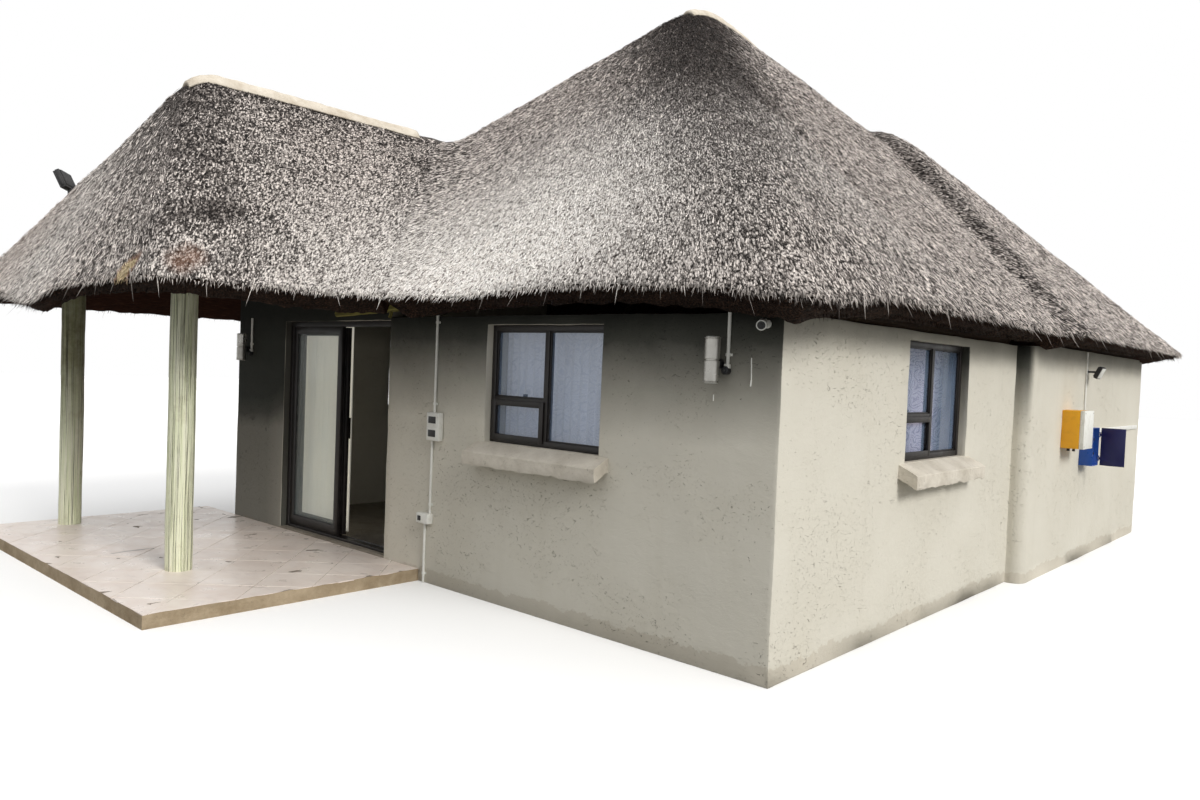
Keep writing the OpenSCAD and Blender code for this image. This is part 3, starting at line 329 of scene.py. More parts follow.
def plaster_finish():
    """Painted plaster, nearly smooth, with pits, scratches, splashed earth at its foot, and painted shade,
    partly dusty, under its eave and verandah.
    """
    f = Finish("painted_plaster", 0.88, Specular_IOR_Level=0.25)
    x, y, z = (f.node("SeparateXYZ", axis, {0: f.coord}) for axis in "XYZ")
    normal_y = f.node("SeparateXYZ", "Y", {0: f.node("NewGeometry", "Normal")})
    front = f.ramp(f.times(normal_y, -1.0), (0.4, 0.0), (0.8, 1.0))
    wobble = f.node("TexNoise", 1, {"Vector": f.coord, "Scale": 9.0})
    jitter = f.node("VectorMath", 0, {0: f.coord, 1: wobble}, operation="ADD")
    pits = f.times(f.ramp(f.cells(8, of=jitter), (0.05, 1.0), (0.1, 0.0)),
                   f.ramp(f.noise(1.3, 3, 0.5), (0.46, 0.0), (0.58, 1.0)))
    scores = f.noise(1, 4, 0.65, f.scaled(24, 24, 46), 1.8)
    patches = f.ramp(f.noise(1.1, 2), (0.42, 0.0), (0.58, 1.0))
    nicks = f.times(f.ramp(scores, (0.63, 0.0), (0.69, 1.0)), patches)
    # Uneven paint with faint streaks
    paint = f.ramp(f.noise(1.1, 5, 0.6), (0.3, 0.0), (0.75, 1.0))
    streaks = f.ramp(f.noise(1, 5, 0.6, f.scaled(7, 7, 0.4)), (0.55, 0.0), (0.80, 0.12))
    colour = f.mix(streaks, f.mix(paint, srgb(216, 212, 200), srgb(209, 204, 190)), srgb(180, 172, 154))
    # Painted shade right under the eave
    eave_shade = f.ramp(f.times(f.times_add(f.noise(2.5, 4, 0.6), 0.15, z), 0.4), (0.82, 0.0), (0.92, 0.66))
    colour = f.mix(eave_shade, colour, srgb(96, 92, 80))
    # Painted shade, with some dust, on the front's upper half, all over the wall under the verandah and round
    # the doorway
    under = f.ramp(f.times(x, -0.3), (0.3, 0.0), (0.8, 1.0))
    rise = f.times_add(f.noise(2.5, 4, 0.6), 0.16, f.times_add(under, 0.8, f.maths("SUBTRACT", z, 1.38)))
    dust_and_shade = f.times(f.ramp(rise, (0.08, 0.0), (0.5, 0.62), (0.72, 0.93), (0.9, 1.0)), front)
    dust_and_shade = f.maths("MAXIMUM", dust_and_shade, f.times(f.times(under, front), 0.72))
    reveal = f.times(f.maths("COMPARE", x, DOOR_X, DOOR_W / 2 + 0.02),
                     f.maths("COMPARE", y, WALL_T / 2 - FRONT_Y, WALL_T / 2 - 0.003))
    dust_and_shade = f.maths("MAXIMUM", dust_and_shade, f.times(reveal, 0.9))
    colour = f.tinted(dust_and_shade, colour, srgb(68, 72, 71))
    # Splashed earth at the foot, dark pits and nicks, pale scratches
    splash = f.times_add(f.noise(5, 6, 0.7), -0.22, z)
    colour = f.mix(f.ramp(splash, (-0.1, 0.22), (-0.02, 0.0)), colour, srgb(158, 140, 116))
    marks = f.times(f.maths("MAXIMUM", pits, f.times(nicks, 0.35)), f.times_add(front, 0.55, 0.15))
    colour = f.mix(marks, colour, srgb(70, 66, 58))
    scratches = f.ramp(f.noise(1, 4, 0.7, f.scaled(34, 34, 5), 2.0), (0.74, 0.0), (0.78, 0.8))
    colour = f.mix(f.times(scratches, f.ramp(z, (0.2, 1.0), (0.5, 0.0))), colour, srgb(238, 236, 228))
    f.bump(f.noise(3.2, 4, 0.5), 0.008)
    f.bump(f.noise(1, 5, 0.6, f.scaled(12, 12, 22), 0.8), 0.0025)
    f.bump(f.noise(130, 3, 0.6), 0.0012)
    f.bump(f.maths("ADD", pits, nicks), -0.008)
    return f.done(colour)


def cement_finish(name, pale, stained):
    f = Finish(name, 0.9, Specular_IOR_Level=0.3)
    colour = f.mix(f.ramp(f.noise(5, 6, 0.65), (0.35, 0.0), (0.7, 1.0)), pale, stained)
    colour = f.mix(f.ramp(f.noise(38, 5, 0.7), (0.6, 0.0), (0.72, 0.5)), colour, srgb(110, 102, 90))
    f.bump(f.noise(24, 6, 0.65), 0.01)
    f.bump(f.noise(140, 3), 0.0015)
    return f.done(colour)


def pole_finish(name, pale, green, crack):
    """Peeled pole: the grain attribute runs round and along each pole."""
    f = Finish(name, 0.75, Specular_IOR_Level=0.3)
    grain = f.attribute("grain", "Vector")
    fibres = f.noise(1.0, 5.0, 0.6, grain)
    splits = f.noise(1.0, 7.0, 0.72, f.scaled(3.2, 3.2, 0.45, grain), 0.4)
    colour = f.mix(f.ramp(fibres, (0.35, 0.0), (0.65, 1.0)), pale, green)
    colour = f.mix(f.ramp(f.noise(7, 6, 0.7), (0.55, 0.0), (0.75, 0.35)), colour, srgb(164, 148, 108))
    lines = f.ramp(splits, (0.39, 1.0), (0.45, 0.0))
    colour = f.mix(f.times(lines, 0.85), colour, crack)
    # The age attribute darkens by weathering, with painted shade up the far left poles
    worn = f.times(f.attribute("age"), f.ramp(f.noise(5, 6, 0.7), (0.3, 0.6), (0.7, 1.0)))
    colour = f.tinted(worn, colour, srgb(120, 116, 92))
    f.bump(f.times(lines, -1.0), 0.008)
    f.bump(fibres, 0.004)
    return f.done(colour)


def painted_metal_finish(name, colour, worn, rough=0.42, metal=0.0):
    f = Finish(name, rough, metal, Specular_IOR_Level=0.5)
    dust_and_shade = f.noise(9, 5, 0.65)
    f.set("Roughness", f.ramp(dust_and_shade, (0.3, rough - 0.1), (0.8, rough + 0.2)))
    tone = f.mix(f.ramp(dust_and_shade, (0.45, 0.0), (0.85, 0.5)), colour, worn)
    f.bump(f.noise(160, 3), 0.0004)
    return f.done(f.mix(f.ramp(f.noise(60, 5, 0.7), (0.64, 0.0), (0.74, 0.35)), tone, worn))


def glass_finish(name, veil, pale, dull):
    """Clear glass under a thin, dusty veil whose colour is also a painted reflection."""
    f = Finish(name, 0.04, Specular_IOR_Level=0.6, Alpha=veil)
    smear = f.noise(6, 5, 0.6, f.scaled(1, 1, 0.4))
    f.set("Roughness", f.ramp(smear, (0.4, 0.03), (0.8, 0.14)))
    f.bump(f.noise(1.6, 2), 0.004)
    return f.done(f.mix(f.ramp(smear, (0.3, 0.0), (0.9, 1.0)), dull, pale))


def lace_finish(name, thread, shadow, holes, pattern, glow=0.0):
    """Lace on the cloth's own UV map, in metres across and down, with a painted glow for daylight through
    thin cloth.
    """
    f = Finish(name, 0.9, Sheen_Weight=0.25)
    facing = f.maths("ABSOLUTE", f.node("SeparateXYZ", "Y", {0: f.node("NewGeometry", "Normal")}))
    f.set("Emission Color", (*thread, 1))
    f.set("Emission Strength", f.ramp(facing, (0.2, glow * 0.35), (0.95, glow)))
    uv = f.node("UVMap", 0, uv_map="cloth")
    leaves, mesh = f.cells(9, "SMOOTH_F1", uv), f.cells(150, of=uv)
    vines = f.ramp(f.maths("ABSOLUTE", f.maths("SINE", f.times(leaves, 26.0))), (0.35, 0.0), (0.6, 1.0))
    weave = f.ramp(mesh, (0.25, 0.0), (0.45, 1.0))
    f.set("Alpha", f.ramp(f.maths("MAXIMUM", vines, f.times(weave, 0.75)), (0.0, 1.0 - holes), (1.0, 1.0)))
    f.bump(f.maths("MAXIMUM", vines, weave), 0.001)
    return f.done(f.mix(f.times_add(vines, pattern, 1.0 - pattern), shadow, thread))


def tile_finish():
    """Glazed stone-coloured tiles, each a little different, with veins and dark scuffs."""
    f = Finish("stoep_tile_glaze", 0.32, Specular_IOR_Level=0.5)
    clouds = f.ramp(f.noise(4, 6, 0.6, warp=0.8), (0.3, 0.0), (0.72, 1.0))
    veins = f.noise(1, 7, 0.65, f.scaled(2.0, 7.5, 2.0), 1.4)
    scuff = f.noise(1, 5, 0.65, f.scaled(4.4, 1.1, 5), 0.9)
    colour = f.mix(clouds, srgb(238, 228, 220), srgb(226, 212, 202))
    colour = f.mix(f.ramp(veins, (0.54, 0.0), (0.70, 0.35)), colour, srgb(196, 184, 180))
    colour = f.mix(f.ramp(f.attribute("shade"), (0.0, 0.0), (1.0, 0.16)), colour, srgb(206, 182, 168))
    colour = f.mix(f.ramp(scuff, (0.69, 0.0), (0.72, 0.7)), colour, srgb(112, 104, 102))
    f.set("Roughness", f.ramp(f.noise(7, 5), (0.3, 0.24), (0.8, 0.52)))
    f.bump(veins, 0.0012)
    return f.done(colour)


def plastic_finish(name, colour, grime, rough=0.38):
    f = Finish(name, rough, Specular_IOR_Level=0.5)
    dirt = f.noise(14, 6, 0.7)
    f.set("Roughness", f.ramp(dirt, (0.3, rough - 0.08), (0.8, rough + 0.2)))
    f.bump(f.noise(90, 3), 0.0005)
    return f.done(f.mix(f.ramp(dirt, (0.5, 0.0), (0.85, 0.55)), colour, grime))


CUT_THATCH, UNDER_THATCH = cut_thatch_finish(), under_thatch_finish()
PLASTER = plaster_finish()
CEMENT_CAP = cement_finish("ridge_cement", srgb(222, 214, 200), srgb(190, 178, 160))
SILL_CONCRETE = cement_finish("sill_concrete", srgb(216, 209, 196), srgb(192, 184, 170))
SLAB_EDGE = cement_finish("slab_edge_concrete", srgb(186, 168, 142), srgb(146, 128, 102))
SCREED = cement_finish("floor_screed", srgb(150, 142, 130), srgb(122, 114, 102))
POLE_GREEN = pole_finish("peeled_pole", srgb(244, 244, 222), srgb(222, 228, 190), srgb(76, 62, 40))
# The roof's poles are darkened with painted shade, as they lie under the thatch
POLE_DARK = pole_finish("roof_pole", srgb(84, 62, 44), srgb(64, 48, 35), srgb(20, 13, 9))
POLE_YELLOW = pole_finish("door_pole", srgb(146, 138, 70), srgb(104, 98, 44), srgb(44, 36, 18))
FRAME_BRONZE = painted_metal_finish("bronze_frame_paint", srgb(24, 20, 19), srgb(60, 54, 50))
# The veils' colours are a painted reflection as well as dust
GLASS = glass_finish("window_glass", 0.2, srgb(176, 200, 232), srgb(140, 164, 198))
DOOR_GLASS = glass_finish("door_glass", 0.16, srgb(236, 236, 224), srgb(196, 214, 216))
# The blue lace and the cream curtain glow a little: painted light
LACE_BLUE = lace_finish("blue_white_lace", srgb(244, 247, 255), srgb(206, 214, 236), 0.12, 0.3, 0.1)
LACE_LILAC = lace_finish("lilac_lace", srgb(206, 198, 216), srgb(150, 140, 166), 0.30, 0.6)
CREAM_CLOTH = lace_finish("cream_curtain", srgb(252, 248, 234), srgb(236, 232, 212), 0.03, 0.25, 0.3)
TILE = tile_finish()
GROUT = cement_finish("tile_grout", srgb(150, 138, 126), srgb(120, 108, 96))
SATIN_METAL = painted_metal_finish("satin_aluminium", srgb(188, 186, 180), srgb(150, 146, 138), 0.3, 0.85)
WHITE_PVC = plastic_finish("white_pvc", srgb(232, 232, 226), srgb(176, 168, 152))
DARK_PLASTIC = plastic_finish("dark_plastic", srgb(28, 29, 32), srgb(74, 70, 64))
LAMP_BLACK = painted_metal_finish("lamp_black_paint", srgb(34, 35, 38), srgb(88, 84, 80))
ORANGE = plastic_finish("meter_orange", srgb(240, 172, 28), srgb(196, 138, 40), 0.4)
SWITCH_BLUE = painted_metal_finish("switch_blue_enamel", srgb(22, 78, 168), srgb(60, 96, 150), 0.32)
SWITCH_NAVY = painted_metal_finish("switch_navy_enamel", srgb(14, 16, 78), srgb(36, 40, 92), 0.36)


# Mesh helpers
BOX_FACES = ((0, 3, 2, 1), (4, 5, 6, 7), (0, 1, 5, 4), (1, 2, 6, 5), (2, 3, 7, 6), (3, 0, 4, 7))


def box_corners(low, high):
    """The corners of a square block, in the order that BOX_FACES counts them."""
    (x0, y0, z0), (x1, y1, z1) = low, high
    return [(x, y, z) for z in (z0, z1) for x, y in ((x0, y0), (x1, y0), (x1, y1), (x0, y1))]


def add_block(verts, faces, corners):
    """Adds a square block to a piece's lists."""
    faces += [tuple(len(verts) + i for i in face) for face in BOX_FACES]
    verts += corners


def piece(name, verts, faces, mats, smooth=True, slots=None):
    mesh = bpy.data.meshes.new(name)
    mesh.from_pydata([tuple(map(float, v)) for v in verts], [], [tuple(map(int, f)) for f in faces])
    for mat in (mats if isinstance(mats, (list, tuple)) else [mats]):
        mesh.materials.append(mat)
    if slots is not None:
        mesh.polygons.foreach_set("material_index", np.array(slots, dtype=np.int32))
    mesh.polygons.foreach_set("use_smooth", [smooth] * len(mesh.polygons))
    made = bpy.data.objects.new(name, mesh)
    scene.collection.objects.link(made)
    return made


def put_attribute(made, name, values, kind="FLOAT"):
    layer = made.data.attributes.new(name, kind, "POINT")
    field = "value" if kind == "FLOAT" else "vector"
    layer.data.foreach_set(field, np.array(values, dtype=np.float32).ravel())


def tidy_mesh(made, recalc=True, doubles=1e-4):
    bm = bmesh.new()
    bm.from_mesh(made.data)
    bmesh.ops.remove_doubles(bm, verts=bm.verts, dist=doubles)
    bmesh.ops.dissolve_degenerate(bm, edges=bm.edges, dist=1e-5)
    if recalc:
        bmesh.ops.recalc_face_normals(bm, faces=bm.faces)
    bm.to_mesh(made.data)
    bm.free()


def merge_flat_faces(bm):
    """Joins neighbouring faces that lie in one plane."""
    bmesh.ops.dissolve_limit(bm, angle_limit=math.radians(0.5), verts=bm.verts, edges=bm.edges)


def apply_modifiers(made):
    """Turns what the modifiers make into the piece's own plain mesh."""
    graph = bpy.context.evaluated_depsgraph_get()
    graph.update()
    result = made.evaluated_get(graph)
    mesh = bpy.data.meshes.new_from_object(result, preserve_all_data_layers=True, depsgraph=graph)
    made.modifiers.clear()
    made.data = mesh
    return made


def soften(made, width, angle=30, segments=2):
    """Rounds the edges that are sharper than an angle in degrees."""
    soft = made.modifiers.new("soft", "BEVEL")
    soft.width, soft.segments = width, segments
    soft.limit_method, soft.angle_limit = "ANGLE", math.radians(angle)
    apply_modifiers(made)


def shade_by_angle(made, degrees):
    made.data.polygons.foreach_set("use_smooth", [True] * len(made.data.polygons))
    made.data.set_sharp_from_angle(angle=math.radians(degrees))


def repaint(made, mat):
    made.data.materials.clear()
    made.data.materials.append(mat)


def lumps(points, scale, size, seed=0.0):
    """Smooth unevenness at each point, up to about the size."""
    shift = Vector((seed, seed * 0.7, -seed))
    return np.array([noise.noise(Vector(p) * scale + shift) for p in points]) * size


def finish_piece(made, body, slot, *replaced):
    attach(made, body)
    if replaced:
        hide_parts(*replaced)
    return made


# Thatch
def near_line(x, y, a, b, reach, fade=0.0):
    """One on the line from a to b, falling off to nothing beside it and, where it fades, towards b."""
    a, b = np.array(a), np.array(b)
    d = b - a
    t = np.clip(((x - a[0]) * d[0] + (y - a[1]) * d[1]) / (d @ d), 0, 1)
    return np.exp(-(np.hypot(x - a[0] - d[0] * t, y - a[1] - d[1] * t) / reach) ** 2) * (1 - fade * t)


def thatch_age(x, y):
    """How dark the thatch has weathered, with painted shade along the rear roof's step: most at the apexes
    and down the hips.
    """
    rear_edge = (RIDGE_X, REAR_FRONT + RIDGE_RISE / REAR_FRONT_SLOPE)
    # Each mark's two ends, its reach, how far it fades and how dark it is
    marks = ((APEX_FRONT, (RIGHT_EAVE, FRONT_EAVE), 0.72, 1.0, 1.4),
             (APEX_FRONT, (RIGHT_EAVE - 1.1, FRONT_EAVE), 0.65, 1.0, 0.42),
             (WING_APEX, (WING_RIGHT - 0.3, WING_FRONT_Y + 0.5), 0.55, 0.6, 0.7),
             (WING_APEX, SADDLE, 0.35, 0.4, 0.5),
             (SADDLE, (WING_RIGHT, FRONT_EAVE), 0.3, 0.9, 0.35),
             # The rear roof's step: weathering and painted shade
             (rear_edge, (REAR_EAVE, REAR_FRONT + 0.1), 0.13, 0.2, 0.6),
             (APEX_BACK, (REAR_EAVE, BACK_EAVE), 0.9, 0.9, 0.8),
             (APEX_BACK, (-LEFT_EAVE, BACK_EAVE), 0.9, 0.9, 0.8),
             ((-0.7, -4.9), (-0.5, -5.45), 0.2, 0.2, 0.75))
    return np.max([near_line(x, y, a, b, reach, fade) * dark for a, b, reach, fade, dark in marks], axis=0)


def thatch_bleach_and_light(x, y):
    """How far the sun has whitened the thatch, with painted light added: most low on the front slopes."""
    low = np.clip(1.15 - roof_rise(x, y) / 2.1, 0, 1)
    house = np.exp(-((x - 0.9) / 1.5) ** 2) * (y < -1.2) * np.clip((y + 5.4) / 1.8, 0.25, 1)
    verandah = 0.5 * np.exp(-((x + 3.4) / 1.5) ** 2) * (y < -4)
    return np.clip(low * (house + verandah) * 1.05 + 0.06 * low, 0, 1)


def thatch_warmth(x, y):
    """Straw-yellow and rusty patches where the thatch has been mended at the verandah's corner."""
    yellow = near_line(x, y, (-0.40, -5.69), (-0.50, -5.71), 0.055)
    rust = near_line(x, y, (-0.22, -5.34), (-0.12, -5.50), 0.10)
    return np.maximum(yellow, 0.34 * rust) + 0.19 * np.exp(-((x + 3.7) / 1.0) ** 2) * (y < -4)


def put_weathering(made, x, y):
    for key, rule in (("age", thatch_age), ("pale", thatch_bleach_and_light), ("warm", thatch_warmth)):
        put_attribute(made, key, rule(x, y))


def eave_cut(starts, ends, at_eave):
    """Each ray's way inwards, and how far in from the eave the cut edge meets the underside."""
    ahead, least_steep = 0.1, 0.1
    inward = (starts - ends) / np.linalg.norm(starts - ends, axis=1)[:, None]
    probe = ends + inward * ahead
    steep = np.maximum((roof_z(*probe.T) - roof_z(*ends.T)) / ahead, least_steep)
    return inward, np.clip((THATCH_T - EAVE_LIP) / steep, CUT_LEAST, CUT_MOST) * at_eave


def thatch_shell(name, rays, rows, closed):
    """A shell of thatch over a run of rays, cut inwards below its eave.

    Each ray is [start on the ridge, end, 1 where it ends at an eave, less where the cut fades]."""
    count, under_rows = len(rays), 14
    # The cut edge's rows: how far in, and how far down
    cut_rows = ((0.03, 0.12), (0.2, 0.3), (0.5, 0.56), (0.8, 0.85), (1.0, 1.0))
    start, end = np.array([r[0] for r in rays]), np.array([r[1] for r in rays])
    inward, cut = eave_cut(start, end, np.array([r[2] for r in rays]))
    profile = []
    for j in range(rows + 1):
        p = start + (end - start) * (j / rows)
        profile.append(np.column_stack([p, roof_z(p[:, 0], p[:, 1])]))
    edge_z = profile[-1][:, 2]
    rim = end + inward * cut[:, None]
    lip = edge_z - roof_z(rim[:, 0], rim[:, 1]) + THATCH_T
    for step_in, part in cut_rows:
        p = end + inward * (step_in * cut)[:, None]
        profile.append(np.column_stack([p, edge_z - lip * part]))
    for j in range(1, under_rows + 1):
        p = rim + (start - rim) * (j / under_rows)
        profile.append(np.column_stack([p, roof_z(p[:, 0], p[:, 1]) - THATCH_T]))
    grid = np.stack(profile, axis=1)
    size = grid.shape[1]
    flow = np.zeros_like(grid)
    flow[:, :rows + 1] = np.gradient(grid[:, :rows + 1], axis=1)
    flow[:, rows + 1:] = flow[:, rows:rows + 1]
    flow = (flow / np.maximum(np.linalg.norm(flow, axis=2), 1e-6)[:, :, None]).reshape(-1, 3)
    faces, slots = [], []
    for i in range(count if closed else count - 1):
        k = (i + 1) % count
        for j in range(size - 1):
            faces.append((i * size + j, i * size + j + 1, k * size + j + 1, k * size + j))
            slots.append(TOP if j <= rows else EDGE if j < rows + len(cut_rows) else UNDER)
    if not closed:
        last = (count - 1) * size
        faces += [tuple(range(size)), tuple(last + j for j in reversed(range(size)))]
        slots += [UNDER, UNDER]
    # Uneven all over, and ragged along the cut edge
    verts = grid.reshape(-1, 3).copy()
    side = np.tile([TOP] * (rows + 1) + [EDGE] * len(cut_rows) + [UNDER] * under_rows, count)
    bump = lumps(verts, 1.7, 0.016) + lumps(verts, 5.5, 0.010, 3.1) + lumps(verts, 16, 0.006, 7.7)
    verts[:, 2] += np.where(side == TOP, bump, bump * 0.5)
    ragged = lumps(verts, 9, 0.02, 5.0) + lumps(verts, 31, 0.012, 9.0)
    verts[:, 2] += np.where(side == EDGE, ragged, 0)
    made = piece(name, verts, faces, [THATCH_TOP, CUT_THATCH, UNDER_THATCH], True, slots)
    steps_down, steps_along = np.diff(grid, axis=1), np.diff(end, axis=0)
    down = np.cumsum(np.linalg.norm(steps_down, axis=2), axis=1)
    down = np.concatenate([np.zeros((count, 1)), down], axis=1).ravel()
    along = np.concatenate([[0], np.cumsum(np.linalg.norm(steps_along, axis=1))])
    lay = np.column_stack([np.repeat(along, size), down, np.zeros(count * size)])
    put_attribute(made, "lay", lay, "FLOAT_VECTOR")
    put_attribute(made, "flow", flow, "FLOAT_VECTOR")
    put_weathering(made, verts[:, 0], verts[:, 1])
    row = np.tile(np.arange(size), count)
    put_attribute(made, "top", ((row >= 2) & (row <= rows)).astype(float))
    tidy_mesh(made)
    return made


def house_rays(gap, notch, left_corner):
    """The rays round the house, which break off where the verandah's roof joins it."""
    def ridge(y):
        return np.array([RIDGE_X, min(max(y, APEX_FRONT[1]), APEX_BACK[1])])

    ys = stations(FRONT_EAVE, BACK_EAVE, gap)
    right = ray_fan([ridge(y) for y in ys], [(RIGHT_EAVE if y < SEAM_Y else REAR_EAVE, y) for y in ys])
    xs = stations(REAR_EAVE, -LEFT_EAVE, gap)[1:-1]
    back = ray_fan([APEX_BACK] * len(xs), [(x, BACK_EAVE) for x in xs])
    ys = [y for y in ys[::-1] if y > left_corner[1] + 0.03]
    left = ray_fan([ridge(y) for y in ys], [(-LEFT_EAVE, y) for y in ys])
    shares_up, shares_down = stations(0, 1, gap / 2.2), stations(0, 1, gap / 2.8)[1:-1]
    cut = np.concatenate([left_corner + (SADDLE - left_corner) * shares_up[:, None],
                          SADDLE + (notch - SADDLE) * shares_down[:, None]])
    # The house's thatch runs on a little below the verandah's
    run_on, fade = 0.02, 0.7
    cut = cut + (cut - APEX_FRONT) / np.linalg.norm(cut - APEX_FRONT, axis=1)[:, None] * run_on
    join = []
    for s, e, _ in ray_fan([APEX_FRONT] * len(cut), cut, 0.0):
        corner_off = min(np.linalg.norm(e - notch), np.linalg.norm(e - left_corner))
        join.append((s, e, max(0.0, 0.99 - corner_off / fade)))
    xs, bend = stations(notch[0], RIGHT_EAVE, gap)[:-1], 0.45
    aims = [(x, notch[1] + (FRONT_EAVE - notch[1]) * min(1, (x - notch[0]) / bend)) for x in xs]
    return left + join + ray_fan([APEX_FRONT] * len(xs), aims) + right + back


def verandah_rays(gap):
    """The rays down the verandah roof's right, front and left slopes."""
    shares, xs = np.linspace(0, 1, 76), stations(WING_RIGHT, -LEFT_EAVE, gap)[1:-1]
    right = ray_fan([SADDLE + (WING_APEX - SADDLE) * t for t in shares],
                    [(WING_RIGHT, FRONT_EAVE + (WING_FRONT_Y - FRONT_EAVE) * t) for t in shares])
    front = ray_fan([WING_APEX] * len(xs), [(x, WING_FRONT_Y) for x in xs])
    left = ray_fan([WING_APEX + (SADDLE - WING_APEX) * t for t in shares],
                   [(-LEFT_EAVE, WING_FRONT_Y + (SADDLE[1] - WING_FRONT_Y) * t) for t in shares])
    return right + front + left


# Geometry Nodes
class Tree:
    """A geometry node tree that is put together in a few words a line."""

    def __init__(self, name, **sizes):
        self.group = bpy.data.node_groups.new(name, "GeometryNodeTree")
        face = self.group.interface
        face.new_socket("Geometry", in_out="INPUT", socket_type="NodeSocketGeometry")
        for key, value in sizes.items():
            kind = {int: "NodeSocketInt", float: "NodeSocketFloat"}.get(type(value), "NodeSocketMaterial")
            made = face.new_socket(key, in_out="INPUT", socket_type=kind)
            if kind != "NodeSocketMaterial":
                made.default_value = value
        face.new_socket("Geometry", in_out="OUTPUT", socket_type="NodeSocketGeometry")
        self.input = self.group.nodes.new("NodeGroupInput")
        self.output = self.group.nodes.new("NodeGroupOutput")

    def size(self, name):
        return self.input.outputs[name]

    def node(self, kind, out=0, inputs=(), **settings):
        made = self.group.nodes.new(kind)
        for key, value in settings.items():
            setattr(made, key, value)
        for key, value in dict(inputs).items():
            if isinstance(value, bpy.types.NodeSocket):
                self.group.links.new(value, made.inputs[key])
            else:
                made.inputs[key].default_value = value
        return made.outputs[out]

    def named(self, name, kind="FLOAT"):
        return self.node("GeometryNodeInputNamedAttribute", 0, {"Name": name}, data_type=kind)

    def maths(self, how, a, b):
        return self.node("ShaderNodeMath", 0, {0: a, 1: b}, operation=how)

    def random(self, low, high, salt):
        seed = self.maths("ADD", self.size("Seed"), float(salt))
        return self.node("FunctionNodeRandomValue", 1, {2: low, 3: high, "Seed": seed}, data_type="FLOAT")

    def random_vector(self, low, high, salt):
        seed = self.maths("ADD", self.size("Seed"), float(salt))
        inputs = {0: low, 1: high, "Seed": seed}
        return self.node("FunctionNodeRandomValue", 0, inputs, data_type="FLOAT_VECTOR")

    def vector(self, how, a, b):
        return self.node("ShaderNodeVectorMath", 0, {0: a, 1: b}, operation=how)

    def longer(self, a, scale):
        return self.node("ShaderNodeVectorMath", 0, {0: a, "Scale": scale}, operation="SCALE")

    def xyz(self, x, y, z):
        return self.node("ShaderNodeCombineXYZ", 0, {0: x, 1: y, 2: z})

    def turned(self, along, beside):
        """The rotation that turns Z along one way and X towards another."""
        inputs = {"Primary Axis": along, "Secondary Axis": beside}
        return self.node("FunctionNodeAxesToRotation", 0, inputs, primary_axis="Z", secondary_axis="X")

    def store(self, geometry, name, value):
        inputs = {"Geometry": geometry, "Name": name, "Value": value}
        return self.node("GeometryNodeStoreNamedAttribute", 0, inputs, data_type="FLOAT", domain="POINT")

    def moved(self, geometry, offset):
        return self.node("GeometryNodeSetPosition", 0, {"Geometry": geometry, "Offset": offset})

    def points_along(self):
        """Points at even spacing along the base piece's loose edges."""
        curve = self.node("GeometryNodeMeshToCurve", 0, {"Mesh": self.input.outputs[0]})
        inputs = {"Curve": curve, "Length": self.size("Spacing")}
        return self.node("GeometryNodeCurveToPoints", 0, inputs, mode="LENGTH")

    def straw(self):
        """One straw, a three-sided cone that narrows to a tip."""
        inputs = {"Vertices": 3, "Side Segments": 1, "Radius Top": 0.0, "Radius Bottom": self.size("Width"),
                  "Depth": self.size("Length")}
        return self.node("GeometryNodeMeshCone", 0, inputs, fill_type="NGON")

    def end(self, geometry):
        real = self.node("GeometryNodeRealizeInstances", 0, {0: geometry})
        inputs = {"Geometry": real, "Material": self.size("Finish")}
        self.group.links.new(self.node("GeometryNodeSetMaterial", 0, inputs), self.output.inputs[0])
        return self.group


def grown(name, base, group, **sizes):
    """A new plain mesh of what a tree grows on a base piece."""
    made = bpy.data.objects.new(name, base.data.copy())
    scene.collection.objects.link(made)
    work = made.modifiers.new("grow", "NODES")
    work.node_group = group
    for item in group.interface.items_tree:
        if item.item_type == "SOCKET" and item.in_out == "INPUT" and item.name in sizes:
            work[item.identifier] = sizes[item.name]
    return apply_modifiers(made)


def straw_tree():
    """Straws scattered on the thatch: each is wide at its cut lower end and buried at its upper tip."""
    t = Tree("thatch_straws", Density=500.0, Length=0.12, Width=0.009, Lift=0.1, From=0.0, To=1.0, Seed=3,
             Finish=None)
    y = t.node("ShaderNodeSeparateXYZ", 1, {0: t.node("GeometryNodeInputPosition")})
    past, short = t.maths("GREATER_THAN", y, t.size("From")), t.maths("LESS_THAN", y, t.size("To"))
    here = t.maths("MULTIPLY", past, short)
    mask = t.maths("MULTIPLY", t.maths("GREATER_THAN", t.named("top"), 0.9), here)
    inputs = {"Mesh": t.input.outputs[0], "Selection": mask, "Density": t.size("Density"),
              "Seed": t.size("Seed")}
    seeds = t.node("GeometryNodeDistributePointsOnFaces", 0, inputs)
    normal = seeds.node.outputs["Normal"]
    jitter = t.longer(t.random_vector((-1, -1, -1), (1, 1, 1), 11), 0.24)
    uphill = t.longer(t.vector("ADD", t.named("flow", "FLOAT_VECTOR"), jitter), -1.0)
    turn = t.turned(t.vector("SUBTRACT", uphill, t.longer(normal, t.size("Lift"))), normal)
    seeds = t.store(seeds, "shade", t.random(0.0, 1.0, 5))
    seeds = t.moved(seeds, t.longer(normal, t.random(-0.001, 0.010, 6)))
    long, wide = t.random(0.55, 1.35, 7), t.random(0.6, 1.4, 8)
    scale = t.xyz(t.maths("MULTIPLY", wide, 0.4), wide, long)
    inputs = {"Points": seeds, "Instance": t.straw(), "Rotation": turn, "Scale": scale}
    return t.end(t.node("GeometryNodeInstanceOnPoints", 0, inputs))


